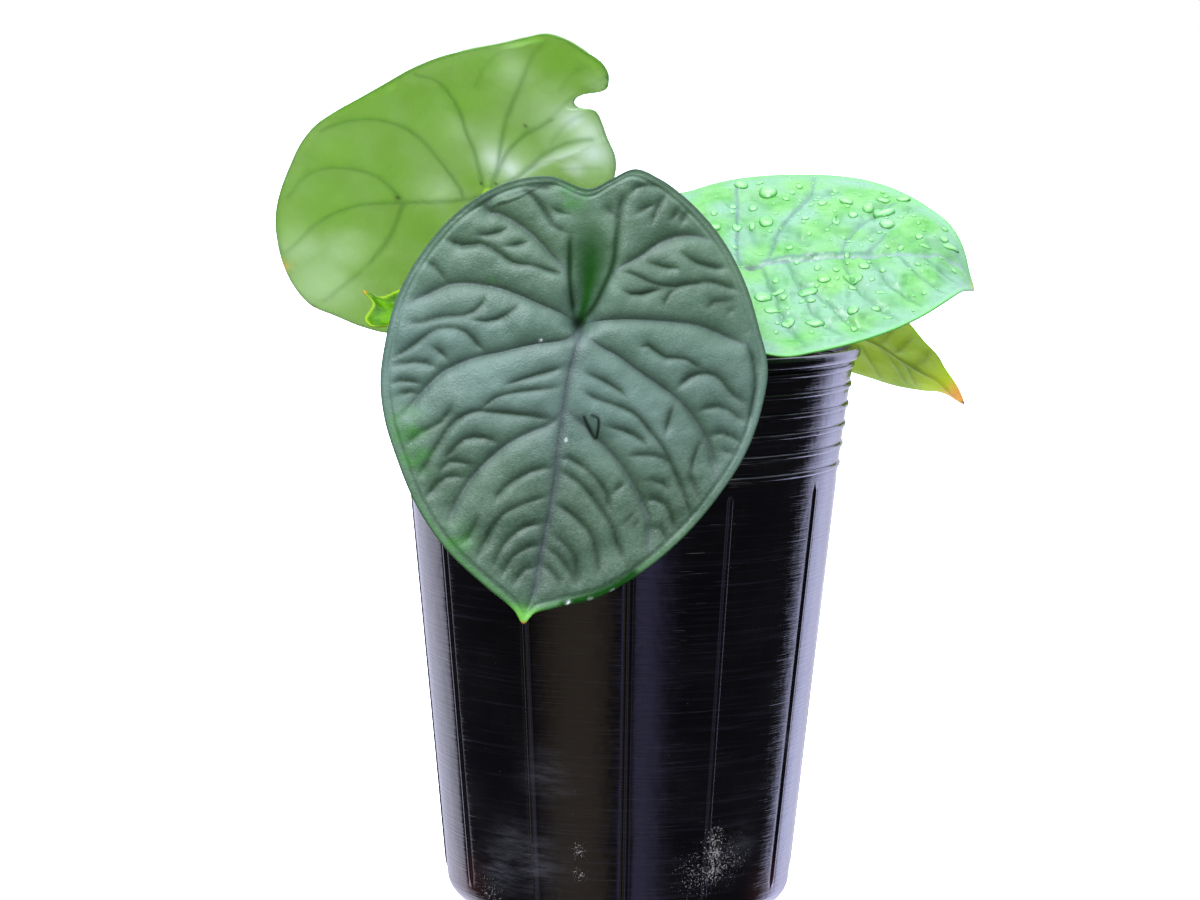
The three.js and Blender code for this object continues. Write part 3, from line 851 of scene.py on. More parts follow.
def low_right_relief():
    """Lamina arched between ribs that leave the midrib in pairs, with a pinched tip."""
    midrib = low_right_blade.paths(LOW_RIGHT_MIDRIB) + [np.array([(0.0, 0.0), (0.0, 20.0), (0.0, 40.0)])]
    veins = low_right_blade.paths(LOW_RIGHT_VEINS)
    for foot in (4.0, 16.0):
        for side in (-1.0, 1.0):
            veins.append(np.array([(0.0, foot), (side * 12, foot + 5), (side * 24, foot + 14)]))

    def relief(plan, inset):
        along = plan[:, 1]
        inner = fade(inset, 0.8, 3.5)
        broad = fold_depth(plan, veins + midrib, 4.5, 9.0)
        ribs = line_mask(plan, midrib, 1.0) + 0.6 * line_mask(plan, veins, 0.8)
        slack = noise(plan, 12.0, 31) * 0.3
        masks = {
            "vein": np.clip(ribs, 0, 1),
            "near_vein": np.clip(broad, 0, 1),
            "rim": 1 - fade(inset, 0.3, 1.2),
            "yellow": fade(along, 62, 74) * 0.9,
            "tip": fade(along, 72, 79),
            "end": fade(along, 82.0, 83.6),
        }
        return 0.4 + inner * (-1.0 * broad - 0.5 * np.clip(ribs, 0, 1) + slack), masks

    return relief


# Young leaf: small, between the front leaf and the back left one
YOUNG_OUTLINE = [
    (0, -11), (6, -9), (12, 0), (13, 12), (10.5, 24), (11.5, 29.5), (10, 31), (1, 30), (-4, 33.5), (-2, 28),
    (-6, 23), (-10, 12), (-11, 0), (-6, -9),
]
YOUNG_RING_CENTRE = (6.0, 15.5)

young_blade = Blade(
    (-47.6, -45, 190.9), (-0.995, 0, 0.103), (0.082, -0.607, 0.791), YOUNG_OUTLINE,
    lambda across, along: 0.0 * across,
)


def young_relief():
    """Small blade with a sunk midrib and pairs of veins curving from it, and a horn-like tip."""
    midrib = [np.array([(0.0, 0.0), (0.0, 14.0), (-1.0, 28.0)])]
    veins = []
    for foot in (1.0, 7.0, 13.0, 19.0):
        for side in (-1.0, 1.0):
            veins.append(np.array([(0.0, foot), (side * 5, foot + 2.5), (side * 10, foot + 8)]))

    def relief(plan, inset):
        inner = fade(inset, 0.5, 2.5)
        swell = noise(plan, 9.0, 41) * 0.3
        depth = fold_depth(plan, veins, 2.2, 4.0)
        rib = fold_depth(plan, midrib, 2.0, 4.0)
        masks = {
            "vein": np.clip(line_mask(plan, midrib, 0.7) + 0.5 * line_mask(plan, veins, 0.5), 0, 1),
            "rim": 1 - fade(inset, 0.3, 1.2),
            "tip": spots(young_blade, plan, [((363, 292), 1.4)]),
        }
        return 0.4 + inner * (-0.8 * depth - 0.8 * rib + swell), masks

    return relief


# Leaf finishes
# Whitish light through a leaf, which the back left leaf shows as painted sheen and glare.
PALE_GLOW = colour(238, 246, 234)


def leaf_skin(finish, tone, roughness, grain, glow, share, pale_share=0.0, matte=0.0, pale_glow=PALE_GLOW):
    """Satin leaf skin, dull where matte, letting its share of light through, and that light paler by its pale
    share.
    """
    cells = finish.cells(0.55)
    normal = finish.bump(cells * 0.5 + grain + finish.noise(2.6, 4, 0.6), 0.16, 0.6)
    inputs = {"Base Color": tone, "Roughness": roughness, "Normal": normal, "Specular IOR Level": 0.45}
    skin = finish.principled(inputs)
    inputs = {"Base Color": tone, "Roughness": 0.9, "Normal": normal, "Specular IOR Level": 0.05}
    dull = finish.principled(inputs)
    skin = finish.node("ShaderNodeMixShader", {}, {0: matte, 1: skin, 2: dull})
    through = finish.node("ShaderNodeBsdfTranslucent", {}, {"Color": glow, "Normal": normal})
    white = finish.node("ShaderNodeBsdfTranslucent", {}, {"Color": pale_glow, "Normal": normal})
    through = finish.node("ShaderNodeMixShader", {}, {0: pale_share, 1: through, 2: white})
    return finish.done(finish.node("ShaderNodeMixShader", {}, {0: share, 1: skin, 2: through}))


def front_finish():
    """Pewter green with purple-grey veins and a vivid funnel; painted shade darkens the folds, the hollows by
    the main veins, the funnel's sides, the dimple at the heart and the funnel's trough, and a painted bluish
    sheen lies across the middle.
    """
    finish = Finish("mature_leaf")
    cloud = finish.noise(18, 2).fade(0.3, 0.7)
    grain = finish.noise(1.1, 3)
    tone = finish.mix(cloud, colour(62, 90, 65), colour(73, 101, 74))
    # Painted sheen: a bluish cast across the middle of the blade.
    cool_sheen = finish.mix(cloud, colour(77, 102, 92), colour(89, 114, 105))
    tone = finish.mix(finish.mask("cool_sheen") * 0.8, tone, cool_sheen)
    tone = finish.painted(tone, ("low", 0.55, (46, 70, 48)))
    tone = finish.mix(grain.fade(0.35, 0.75) * 0.3, tone, colour(98, 122, 106))
    tone = finish.painted(
        # Painted shade darkens the hollows beside the main veins and the folds.
        tone, ("by_vein", 0.35, (62, 74, 74)), ("hollow_shade", 0.32, (34, 66, 26)), ("fold", 0.85, (22, 40, 22)),
        # The funnel colour is its vivid green darkened by painted shade in the trough.
        ("vein", 0.55, (52, 58, 64)), ("green", 0.7, (52, 116, 34)), ("funnel", 0.95, (16, 60, 6)),
        # Painted shade along the funnel's sides and in the dimple at the heart.
        ("seam_shade", 0.5, (20, 40, 18)), ("pit_shade", 0.9, (6, 14, 6)), ("rim", 0.65, (42, 66, 44)),
        ("lime", 0.8, (96, 168, 48)), ("wet", 0.95, (8, 50, 6)), ("speck", 1, (220, 228, 224)),
        ("tip", 1, (206, 122, 44)), ("tear", 0.95, (8, 14, 12)), ("under", 0.85, (118, 146, 108)))
    matte = finish.mask("wet") + finish.mask("rim") * 0.5 + finish.mask("funnel") + finish.mask("pit_shade")
    matte = (matte + finish.mask("fold") * 0.6 + finish.mask("seam_shade") * 0.6 + finish.mask("tear")).fade(0, 1.1)
    share = 0.05 + 0.08 * finish.mask("green")
    return leaf_skin(finish, tone, 0.44 + 0.1 * cloud, grain, colour(120, 200, 60), share, 0.0, matte)


def mint_tone(finish):
    """Mint green, made paler by the veins and margin with painted sheen, the veins grey-blue with a pale
    midrib, and painted shade in the folds.
    """
    cloud = finish.noise(9, 3).fade(0.35, 0.65)
    tone = finish.mix(cloud, colour(76, 147, 55), colour(102, 160, 82))
    return finish.painted(
        # Painted sheen makes the lamina paler and whiter by the veins and margin.
        tone, ("shade", 0.8, (112, 150, 126)), ("vein", 0.75, (74, 104, 98)),
        # The crease colour is painted shade in the folds and the lower veins' own darker green.
        ("midrib", 0.8, (122, 134, 142)), ("crease", 0.65, (48, 104, 62)),
        ("rim", 0.6, (112, 164, 100)), ("edge", 0.8, (62, 150, 34)))


def right_finish():
    """Bright mint, grey-green along the veins, wet and glossy."""
    finish = Finish("mint_leaf")
    grain = finish.noise(1.5, 2)
    tone = finish.painted(
        mint_tone(finish), ("heart", 0.8, (40, 56, 44)), ("tip", 1, (150, 150, 30)),
        ("under", 0.8, (96, 158, 52)))
    roughness = 0.2 + 0.16 * finish.noise(6, 3).fade(0.35, 0.65)
    return leaf_skin(finish, tone, roughness, grain, colour(140, 215, 90), 0.2)


def drop_finish():
    """Water on the mint leaf: the leaf shows through, with painted light brighter inside on one side and
    painted shade in a dark ring round the foot of the drop.
    """
    finish = Finish("water_on_leaf")
    tone = finish.mix(0.5, mint_tone(finish), colour(96, 170, 76))
    # Painted light inside the drop on one side, and painted shade in a dark ring round its foot.
    tone = finish.painted(tone, ("crown", 0.6, (156, 208, 138)), ("foot", 0.8, (44, 112, 44)))
    inputs = {"Base Color": tone, "Roughness": 0.16, "Specular IOR Level": 0.32}
    return finish.done(finish.principled(inputs))


def back_left_finish():
    """Yellow-green underside with darker ribs and fine net veins, bright where light comes through, and with
    painted sheen and glare in pale, whitish patches.
    """
    finish = Finish("backlit_leaf")
    cloud = (finish.noise(22, 2) + finish.noise(7, 3) * 0.5).fade(0.6, 0.9)
    grain = finish.noise(1.2, 3)
    net = finish.cells(3.2).fade(0.05, 0.5)
    tone = finish.mix(cloud, colour(98, 148, 44), colour(156, 190, 112))
    tone = finish.mix(net * 0.12, colour(104, 148, 64), tone)
    tone = finish.painted(
        # Painted sheen in the pale patches and painted glare.
        tone, ("deep", 0.6, (100, 160, 26)), ("pale", 0.6, (176, 202, 150)), ("glare", 0.8, (232, 240, 228)),
        ("vein", 0.85, (48, 128, 16)), ("margin_vein", 0.4, (84, 130, 50)), ("rim", 0.8, (48, 116, 30)),
        ("heart", 0.7, (170, 220, 60)), ("dots", 1, (60, 40, 24)), ("tip", 1, (232, 160, 40)))
    share = 0.5 - 0.1 * finish.mask("vein") - 0.12 * finish.mask("rim") - 0.3 * finish.mask("dots")
    # Painted sheen and glare: the light through the underside turns whitish in the pale patches and the
    # glare.
    pale_share = 0.04 + 0.16 * cloud + 0.34 * finish.mask("pale") + 0.52 * finish.mask("glare")
    pale_share = pale_share * (1 - 0.6 * finish.mask("deep"))
    return leaf_skin(finish, tone, 0.34 + 0.1 * cloud, grain, colour(188, 216, 128), share, pale_share)


def low_right_finish():
    """Ageing olive green, yellow towards the tip, which is dry and orange."""
    finish = Finish("olive_leaf")
    cloud = finish.noise(10, 3).fade(0.35, 0.65)
    grain = finish.noise(1.2, 3)
    tone = finish.mix(cloud, colour(124, 162, 52), colour(174, 190, 112))
    tone = finish.painted(
        tone, ("near_vein", 0.3, (132, 140, 66)), ("vein", 0.6, (96, 112, 50)), ("yellow", 1, (232, 236, 40)),
        ("rim", 0.6, (110, 186, 40)), ("tip", 1, (255, 208, 120)), ("end", 1, (60, 40, 40)))
    share = 0.4 - 0.12 * finish.mask("vein") - 0.35 * finish.mask("end")
    pale_share = 0.04 + 0.75 * finish.mask("tip")
    glow, tip_glow = colour(212, 232, 104), colour(255, 214, 150)
    return leaf_skin(finish, tone, 0.38 + 0.1 * cloud, grain, glow, share, pale_share, 0.0, tip_glow)


def young_finish():
    """Dark glossy green with paler veins and a brown horn at the tip."""
    finish = Finish("young_leaf")
    cloud = finish.noise(7, 3).fade(0.35, 0.65)
    grain = finish.noise(1.2, 2)
    tone = finish.mix(cloud, colour(28, 78, 2), colour(84, 134, 8))
    tone = finish.painted(
        tone, ("vein", 0.4, (96, 140, 40)), ("rim", 0.7, (150, 176, 22)), ("tip", 1, (190, 110, 30)))
    return leaf_skin(finish, tone, 0.22 + 0.1 * cloud, grain, colour(196, 232, 30), 0.28, 0.0, 0.7)


def stalk_finish():
    """Fleshy yellow-green stalk with fine dark flecks and a paler, purplish foot."""
    finish = Finish("stalk")
    flecks = finish.noise(2.2, 4, 0.7, (1, 1, 0.45)).fade(0.56, 0.66)
    cloud = finish.noise(9, 3)
    along = finish.mask("along")
    tone = finish.mix(cloud, colour(112, 150, 46), colour(158, 196, 74))
    tone = finish.mix(1 - along.fade(0.02, 0.35), tone, colour(176, 178, 110))
    tone = finish.mix(flecks * 0.6, tone, colour(84, 70, 44))
    normal = finish.bump(finish.noise(1.2, 3, 0.6, (1, 1, 0.12)), 0.12, 0.6)
    return finish.done(finish.principled({"Base Color": tone, "Roughness": 0.38, "Normal": normal}))


def sheath_finish():
    """Papery straw-brown with long fibres and darker, torn-looking upper parts."""
    finish = Finish("dry_sheath")
    fibres = finish.noise(1.1, 4, 0.7, (1, 1, 0.08))
    tone = finish.mix(fibres.fade(0.3, 0.7), colour(112, 84, 50), colour(182, 150, 98))
    tone = finish.mix(finish.mask("along").fade(0.45, 1.0) * 0.6, tone, colour(92, 62, 36))
    normal = finish.bump(fibres, 0.4, 0.8)
    return finish.done(finish.principled({"Base Color": tone, "Roughness": 0.72, "Normal": normal}))


def corm_finish():
    """Fibrous brown skin ringed with old leaf scars."""
    finish = Finish("corm_skin")
    rings = finish.noise(2.4, 3, 0.6, (0.12, 0.12, 1))
    fibres = finish.noise(1.4, 4, 0.7, (1, 1, 0.15))
    tone = finish.mix(rings.fade(0.35, 0.65), colour(78, 54, 34), colour(128, 98, 62))
    tone = finish.mix(fibres.fade(0.5, 0.7) * 0.5, tone, colour(52, 36, 24))
    normal = finish.bump(rings + 0.6 * fibres, 0.9, 0.8)
    return finish.done(finish.principled({"Base Color": tone, "Roughness": 0.82, "Normal": normal}))


# Potting mix finishes
def soil_finish():
    """Dark moist crumbs between the bark pieces."""
    finish = Finish("bark_mix")
    crumbs = finish.noise(2.2, 5, 0.65)
    coarse = finish.noise(9, 3)
    tone = finish.mix(crumbs.fade(0.3, 0.7), colour(26, 18, 13), colour(72, 50, 34))
    tone = finish.mix(coarse.fade(0.5, 0.75) * 0.5, tone, colour(94, 66, 42))
    normal = finish.bump(crumbs, 1.2, 0.9)
    roughness = 0.6 + 0.3 * coarse
    return finish.done(finish.principled({"Base Color": tone, "Roughness": roughness, "Normal": normal}))


def bark_finish():
    """Bark chips from red-brown to grey-brown, each of its own tone, with long grain."""
    finish = Finish("bark_chip")
    grain = finish.noise(1.6, 4, 0.7, (1, 0.35, 1))
    tone = finish.mix(finish.mask("tone"), colour(62, 36, 22), colour(128, 88, 56))
    tone = finish.mix(grain.fade(0.35, 0.7) * 0.6, tone, colour(38, 24, 16))
    normal = finish.bump(grain, 0.6, 0.8)
    return finish.done(finish.principled({"Base Color": tone, "Roughness": 0.72, "Normal": normal}))


def grit_finish():
    """Pale porous grit."""
    finish = Finish("white_grit")
    pores = finish.noise(0.7, 3, 0.7)
    tone = finish.mix(finish.mask("tone") * 0.6 + 0.4 * pores, colour(168, 162, 148), colour(232, 230, 222))
    normal = finish.bump(pores, 0.4, 0.9)
    return finish.done(finish.principled({"Base Color": tone, "Roughness": 0.85, "Normal": normal}))


# Pot
POT_HEIGHT = 179.0
POT_WALL = 1.2
BASE_RADIUS = 47.0
BASE_CORNER = 8.0
FOOT_RADIUS = 55.0
BAND_FOOT = 139.5
BAND_FOOT_RADIUS = 68.3
BAND_HEAD = 174.6
BAND_HEAD_RADIUS = 72.8
LIP_RADIUS = 75.1
LIP_INNER_RADIUS = 72.0
BEADS = 6
BEAD_FIRST = 140.7
BEAD_STEP = 6.3
BEAD_HEIGHT = 1.8
BEAD_PROUD = 0.6
RIDGES = 12
RIDGE_TURN = 2.0
RIDGE_SHIFTS = (0, -3, 0, 0, 0, 0, 0, 0, 0, 0, 1, 0.5)
RIDGE_ANGLES = np.arange(RIDGES) * 360 / RIDGES + RIDGE_TURN - 90 + np.array(RIDGE_SHIFTS)
RIDGE_SPREAD = 1.9
RIDGE_COLUMNS = 13
BETWEEN_COLUMNS = 21
RIDGE_PROUD = 0.45
RIDGE_LOW = 9.0
RIDGE_HIGH = 137.0
DRAIN_HOLES = 8
DRAIN_RADIUS = 4.5
DRAIN_CIRCLE = 30.0
DRAIN_TURN = 22.5
DRAIN_SIDES = 24
DRAIN_LEVELS = (-3.0, 5.0)
OUTSIDE_SHARE = 0.7
SHARP_DEGREES = 50
WALL_ROUNDS = 12


def wall_radius(height):
    """Outer radius of the pot's wall at a height, straight below the band and straight beside it."""
    levels, radii = [BASE_CORNER, BAND_FOOT, BAND_HEAD], [FOOT_RADIUS, BAND_FOOT_RADIUS, BAND_HEAD_RADIUS]
    return np.interp(height, levels, radii)


def pot_profile():
    """Outside of the pot from the base to the lip, and inside back down to the floor, as (radius, height)."""
    base = [(4, 0), (20, 0), (36, 0)]
    corner = quarter(BASE_RADIUS, BASE_CORNER, BASE_CORNER, BASE_CORNER, 12)
    heights = np.concatenate([
        np.linspace(BASE_CORNER + 0.8, RIDGE_LOW + 1, 3), np.linspace(11.5, RIDGE_HIGH - 1.6, 84),
        [RIDGE_HIGH - 0.8, RIDGE_HIGH, RIDGE_HIGH + 1, BAND_FOOT - 0.6, BAND_FOOT],
    ])
    wall = np.stack([wall_radius(heights), heights], 1)
    beads = []
    for bead in range(BEADS):
        middle = BEAD_FIRST + 0.9 + BEAD_STEP * bead
        share = np.linspace(-1.35, 1.35, 13)
        heights = middle + share * BEAD_HEIGHT / 2
        groove = 0.12 * np.exp(-(((np.abs(share) - 1.1) / 0.15) ** 2))
        proud = BEAD_PROUD * np.sqrt(np.clip(1 - share**2, 0, 1)) - groove
        beads.append(np.stack([wall_radius(heights) + proud, heights], 1))
    lip_foot = POT_HEIGHT - 3.8
    turn = np.linspace(-0.5, 0.5, 9) * math.pi
    rolled = np.stack([
        LIP_RADIUS - 1.5 + 1.5 * np.cos(turn), POT_HEIGHT - 1.9 + 1.9 * np.sin(turn),
    ], 1)
    lip = np.vstack([[(BAND_HEAD_RADIUS + 0.1, lip_foot - 0.4), (BAND_HEAD_RADIUS + 0.5, lip_foot)], rolled])
    inner_lip = [(LIP_INNER_RADIUS + 0.5, POT_HEIGHT - 0.1), (LIP_INNER_RADIUS, POT_HEIGHT - 0.6)]
    heights = np.linspace(BAND_HEAD, BAND_FOOT, 10)
    inner_band = np.stack([wall_radius(heights) - POT_WALL, heights], 1)
    heights = np.linspace(BAND_FOOT - 6, BASE_CORNER, 20)
    inner_wall = np.stack([wall_radius(heights) - POT_WALL, heights], 1)
    inner_corner = quarter(BASE_RADIUS, BASE_CORNER, BASE_CORNER - POT_WALL, BASE_CORNER - POT_WALL, 8)[::-1]
    floor = [(36, POT_WALL), (20, POT_WALL), (4, POT_WALL)]
    parts = [base, corner, wall, *beads, lip, inner_lip, inner_band, inner_wall, inner_corner, floor]
    return np.vstack([np.array(part, float) for part in parts])


def pot_angles():
    """Column angles in degrees: close together across each ridge and even between them."""
    across = np.linspace(-RIDGE_SPREAD, RIDGE_SPREAD, RIDGE_COLUMNS)
    ahead = np.roll(RIDGE_ANGLES, -1) - RIDGE_ANGLES
    ahead[-1] += 360
    share = np.linspace(0, 1, BETWEEN_COLUMNS + 2)[1:-1]
    between = share * (ahead[:, None] - 2 * RIDGE_SPREAD) + RIDGE_SPREAD
    return (RIDGE_ANGLES[:, None] + np.hstack([np.tile(across, (RIDGES, 1)), between])).ravel()


def ridge_rise(angles, radius, height):
    """Upright ridges with a fine groove on each side: a flat-topped hump across, faded out at both ends."""
    off = (angles[:, None] - RIDGE_ANGLES + 180) % 360 - 180
    gap = np.radians(np.abs(off).min(1)) * radius
    hump = RIDGE_PROUD * (1 - fade(gap, 0.45, 1.05)) - 0.10 * np.exp(-(((gap - 1.3) / 0.3) ** 2))
    begun = fade(height, RIDGE_LOW - 1, RIDGE_LOW + 2)
    return hump * begun * (1 - fade(height, RIDGE_HIGH - 2, RIDGE_HIGH + 1))


def on_pot(pixel):
    """The place on the pot's wall that a pixel shows: its ray meets the tapering wall in a few rounds."""
    ray = pixel_rays([pixel])[0]
    eye = np.array(CAMERA_PLACE)
    radius = 60.0
    for _ in range(WALL_ROUNDS):
        a = ray[:2] @ ray[:2]
        b = eye[:2] @ ray[:2]
        c = eye[:2] @ eye[:2] - radius**2
        hit = eye + (-b - math.sqrt(b * b - a * c)) / a * ray
        radius = wall_radius(hit[2])
    return hit


POT_MARKS = [
    ("scuff", (500, 868), 8, 1.0), ("scuff", (530, 862), 9, 1.0), ("scuff", (548, 775), 8, 0.6),
    ("scuff", (512, 850), 8, 0.8), ("scuff", (790, 740), 6, 0.6), ("scuff", (740, 845), 6, 0.5),
    ("deposit", (714, 838), 4, 0.9), ("deposit", (715, 854), 5, 1.0), ("deposit", (713, 870), 5, 1.0),
    ("deposit", (728, 860), 8, 0.6), ("deposit", (698, 872), 8, 0.65), ("deposit", (740, 858), 6, 0.4),
    ("deposit", (490, 892), 7, 0.6), ("deposit", (578, 851), 2.5, 0.8), ("deposit", (580, 874), 2.5, 0.7),
]


def pot_masks(points):
    """Where scuffs and dried water marks lie: exp(-(distance / size) squared) round each place."""
    masks = {"scuff": np.zeros(len(points)), "deposit": np.zeros(len(points))}
    for kind, pixel, size, strength in POT_MARKS:
        gap = np.linalg.norm(points - on_pot(pixel), axis=1)
        masks[kind] = np.maximum(masks[kind], strength * np.exp(-((gap / size) ** 2)))
    # Painted light: a reddish-brown glow through the thin plastic at the bottom of the left and right sides.
    edge = fade(np.abs(points[:, 0]), 38, 50)
    masks["low"] = edge * (1 - fade(points[:, 2], 4, 24))
    return masks


def pot_finish():
    """Thin glossy black plastic: fine level drawing lines, smudges, pale scuffs and dried water marks."""
    finish = Finish("black_plastic")
    lines = finish.noise(0.9, 3, 0.7, (0.015, 0.015, 1))
    patches = finish.noise(16, 3, 0.6, (0.4, 0.4, 1)).fade(0.35, 0.7)
    smudge = finish.noise(22, 4, 0.6)
    scuffs = finish.mask("scuff") * finish.noise(4.5, 6, 0.75, (0.25, 0.25, 1.5)).fade(0.32, 0.8)
    crust = finish.mask("deposit")
    specks = (finish.noise(0.6, 4, 0.8) + crust * 0.17).fade(0.66, 0.73) * crust.fade(0.02, 0.3)
    dust = finish.noise(0.8, 2, 0.5).fade(0.74, 0.8) * 0.3
    tone = finish.mix(smudge.fade(0.4, 0.7), colour(6, 5, 8), colour(13, 12, 14))
    tone = finish.mix(lines.fade(0.5, 0.72) * (0.25 + 0.5 * patches), tone, colour(34, 33, 42))
    # Painted light coming through the thin plastic, reddish-brown at the bottom of the sides.
    tone = finish.mix(finish.mask("low"), tone, colour(60, 26, 20))
    tone = finish.mix(scuffs * 0.5, tone, colour(112, 112, 118))
    tone = finish.mix(specks * 0.8, tone, colour(190, 186, 180))
    tone = finish.mix(dust, tone, colour(92, 90, 92))
    roughness = 0.08 + 0.10 * smudge.fade(0.35, 0.75) + 0.25 * scuffs + 0.4 * specks
    normal = finish.bump(lines + 0.8 * finish.noise(9, 2), 0.3, 0.8)
    inputs = {"Base Color": tone, "Roughness": roughness, "Normal": normal, "Specular IOR Level": 0.5}
    return finish.done(finish.principled(inputs))


def add_pot():
    """The pot: its profile turned about the axis, with ridges outside and drain holes in the floor."""
    profile = pot_profile()
    angles = pot_angles()
    radius, height = profile[:, :1], profile[:, 1:] + 0 * angles
    turn = np.radians(angles)
    outside = np.arange(len(profile))[:, None] < len(profile) * OUTSIDE_SHARE
    rise = np.where(outside, ridge_rise(angles, np.maximum(radius, 1), height), 0)
    points, faces = capped_rings(round_axis(radius + rise, turn, height))
    pot = make_piece("pot", points, faces, pot_finish(), "black_plastic", "pot", pot_masks(points))
    cut_holes(pot)


def cut_holes(pot):
    """Drain holes: eight upright bars on a circle are taken out of the floor."""
    bars = []
    for hole in range(DRAIN_HOLES):
        turn = math.radians(DRAIN_TURN + 360 / DRAIN_HOLES * hole)
        angle = np.linspace(0, 2 * math.pi, DRAIN_SIDES, endpoint=False)
        ring = np.stack([
            DRAIN_CIRCLE * math.cos(turn) + DRAIN_RADIUS * np.cos(angle),
            DRAIN_CIRCLE * math.sin(turn) + DRAIN_RADIUS * np.sin(angle),
        ], 1)
        ends = [np.column_stack([ring, np.full(DRAIN_SIDES, level)]) for level in DRAIN_LEVELS]
        bars.append(np.stack(ends))
    cutter = added("drain_bars", outward_mesh("drain_bars", *joined(bars)))
    pot.data.set_sharp_from_angle(angle=math.radians(SHARP_DEGREES))
    cut = pot.modifiers.new("drain_holes", "BOOLEAN")
    cut.operation = "DIFFERENCE"
    cut.solver = "EXACT"
    cut.object = cutter
    with bpy.context.temp_override(object=pot, active_object=pot, selected_objects=[pot]):
        bpy.ops.object.modifier_apply(modifier=cut.name)
    bpy.data.objects.remove(cutter)


# Potting mix
MIX_BOTTOM = 1.5
MIX_EDGE = 160.0
MIX_CROWN = 163.0
MIX_COLUMNS = 260
MIX_TOP_ROWS = 80
CORM_RADIUS = 15.0
CORM_SHOULDER = 150.0
CORM_DEPTH = 18.0
CORM_TOP = 164.0
PEBBLES_FROM = 17.0


def mix_height(places):
    """Surface of the mix: from the wall up to the crown at the corm, with crumbs on it."""
    radius = np.linalg.norm(places, axis=1)
    level = MIX_EDGE + (MIX_CROWN - MIX_EDGE) * (1 - fade(radius, CORM_RADIUS, 66))
    return level + 0.55 * noise(places, 9.0, 51) + 0.3 * noise(places, 3.2, 52)


def add_mix():
    """The mix: it follows the pot's inside, with crumbs over its top."""
    inset = POT_WALL + 0.3
    corner = quarter(BASE_RADIUS, BASE_CORNER, BASE_CORNER - inset, BASE_CORNER - inset, 6)
    heights = np.linspace(BASE_CORNER + 8, MIX_EDGE - 1.2, 12)
    wall = np.stack([wall_radius(heights) - inset, heights], 1)
    edge = wall_radius(MIX_EDGE) - inset
    reach = np.linspace(edge - 0.6, 3, MIX_TOP_ROWS)
    top = np.stack([reach, np.full(MIX_TOP_ROWS, MIX_EDGE)], 1)
    profile = np.vstack([[(4, MIX_BOTTOM), (30, MIX_BOTTOM)], corner, wall, top])
    rings = turned_rings(profile, MIX_COLUMNS)
    on_top = rings[-MIX_TOP_ROWS:].reshape(-1, 3)
    on_top[:, 2] = mix_height(on_top[:, :2])
    rings[-MIX_TOP_ROWS:] = on_top.reshape(MIX_TOP_ROWS, MIX_COLUMNS, 3)
    points, faces = capped_rings(rings)
    make_piece("potting_mix", points, faces, soil_finish(), "bark_mix", "potting_mix")


def pebbles(name, count, size, flatness, seed, finish):
    """Small irregular lumps half sunk in the mix.

    One lump is rings of seven points on a squared-off sphere, each lump stretched, turned and dented by
    its own random numbers; all lumps are worked out as one array (lump, ring, column, 3).
    """
    random = np.random.default_rng(seed)
    rows, columns = 5, 7
    polar = np.linspace(0.12, 0.88, rows)[:, None] * math.pi
    ball = round_axis(np.sin(polar), full_turn(columns), np.cos(polar))
    lumps = ball * (1 + 0.22 * random.normal(size=(count, rows, columns, 1)).clip(-1.4, 1.4))
    spread = size * random.uniform(0.6, 1.35, (count, 1, 1, 3)) * np.array(flatness)
    lumps = lumps * spread
    yaw, pitch = random.uniform(0, 2 * math.pi, count), random.normal(0, 0.35, count)
    x, y, z = lumps[..., 0], lumps[..., 1], lumps[..., 2]
    c, s = np.cos(pitch)[:, None, None], np.sin(pitch)[:, None, None]
    x, z = x * c + z * s, z * c - x * s
    c, s = np.cos(yaw)[:, None, None], np.sin(yaw)[:, None, None]
    x, y = x * c - y * s, x * s + y * c
    reach = np.sqrt(random.uniform(PEBBLES_FROM**2, (wall_radius(MIX_EDGE) - 4 - size) ** 2, count))
    angle = random.uniform(0, 2 * math.pi, count)
    places = np.stack([reach * np.cos(angle), reach * np.sin(angle)], 1)
    level = mix_height(places) + random.uniform(-0.2, 0.5, count) * size * flatness[2]
    lumps = np.stack([x, y, z], -1)
    lumps += np.column_stack([places, level])[:, None, None, :]
    points, faces = joined(lumps)
    tone = np.repeat(random.uniform(0, 1, count), rows * columns + 2)
    make_piece(name, points, faces, finish, "bark_mix", masks={"tone": tone}, smooth=False)


def add_corm():
    """Round below, straight above, with shallow rings of old scars, a flat crown and a rounded shoulder."""
    low = quarter(0, CORM_SHOULDER, CORM_RADIUS, CORM_DEPTH, 14)[1:]
    heights = np.linspace(CORM_SHOULDER + 1, CORM_TOP - 1.2, 16)
    upright = np.stack([np.full(16, CORM_RADIUS), heights], 1)
    crown = [(CORM_RADIUS - 0.3, CORM_TOP - 0.5), (CORM_RADIUS - 0.9, CORM_TOP), (9, CORM_TOP), (2, CORM_TOP)]
    rings = turned_rings(np.vstack([low, upright, crown]), 96)
    ripple = 0.35 * np.sin(rings[..., 2:] * 1.9 + 0.6 * noise(rings, 14.0, 61)[..., None])
    rings[..., :2] *= 1 - (0.35 + ripple) / CORM_RADIUS
    points, faces = capped_rings(rings)
    make_piece("corm", points, faces, corm_finish(), "corm_skin", "corm")


# Stalks
FOOT_CIRCLE = 9.0
FOOT_LEVEL = 164.4
STALK_RADIUS = 2.1
FOOT_FLARE = 1.9
FLARE_REACH = 9.0
HEAD_FLARE = 0.5
HEAD_REACH = 1.6


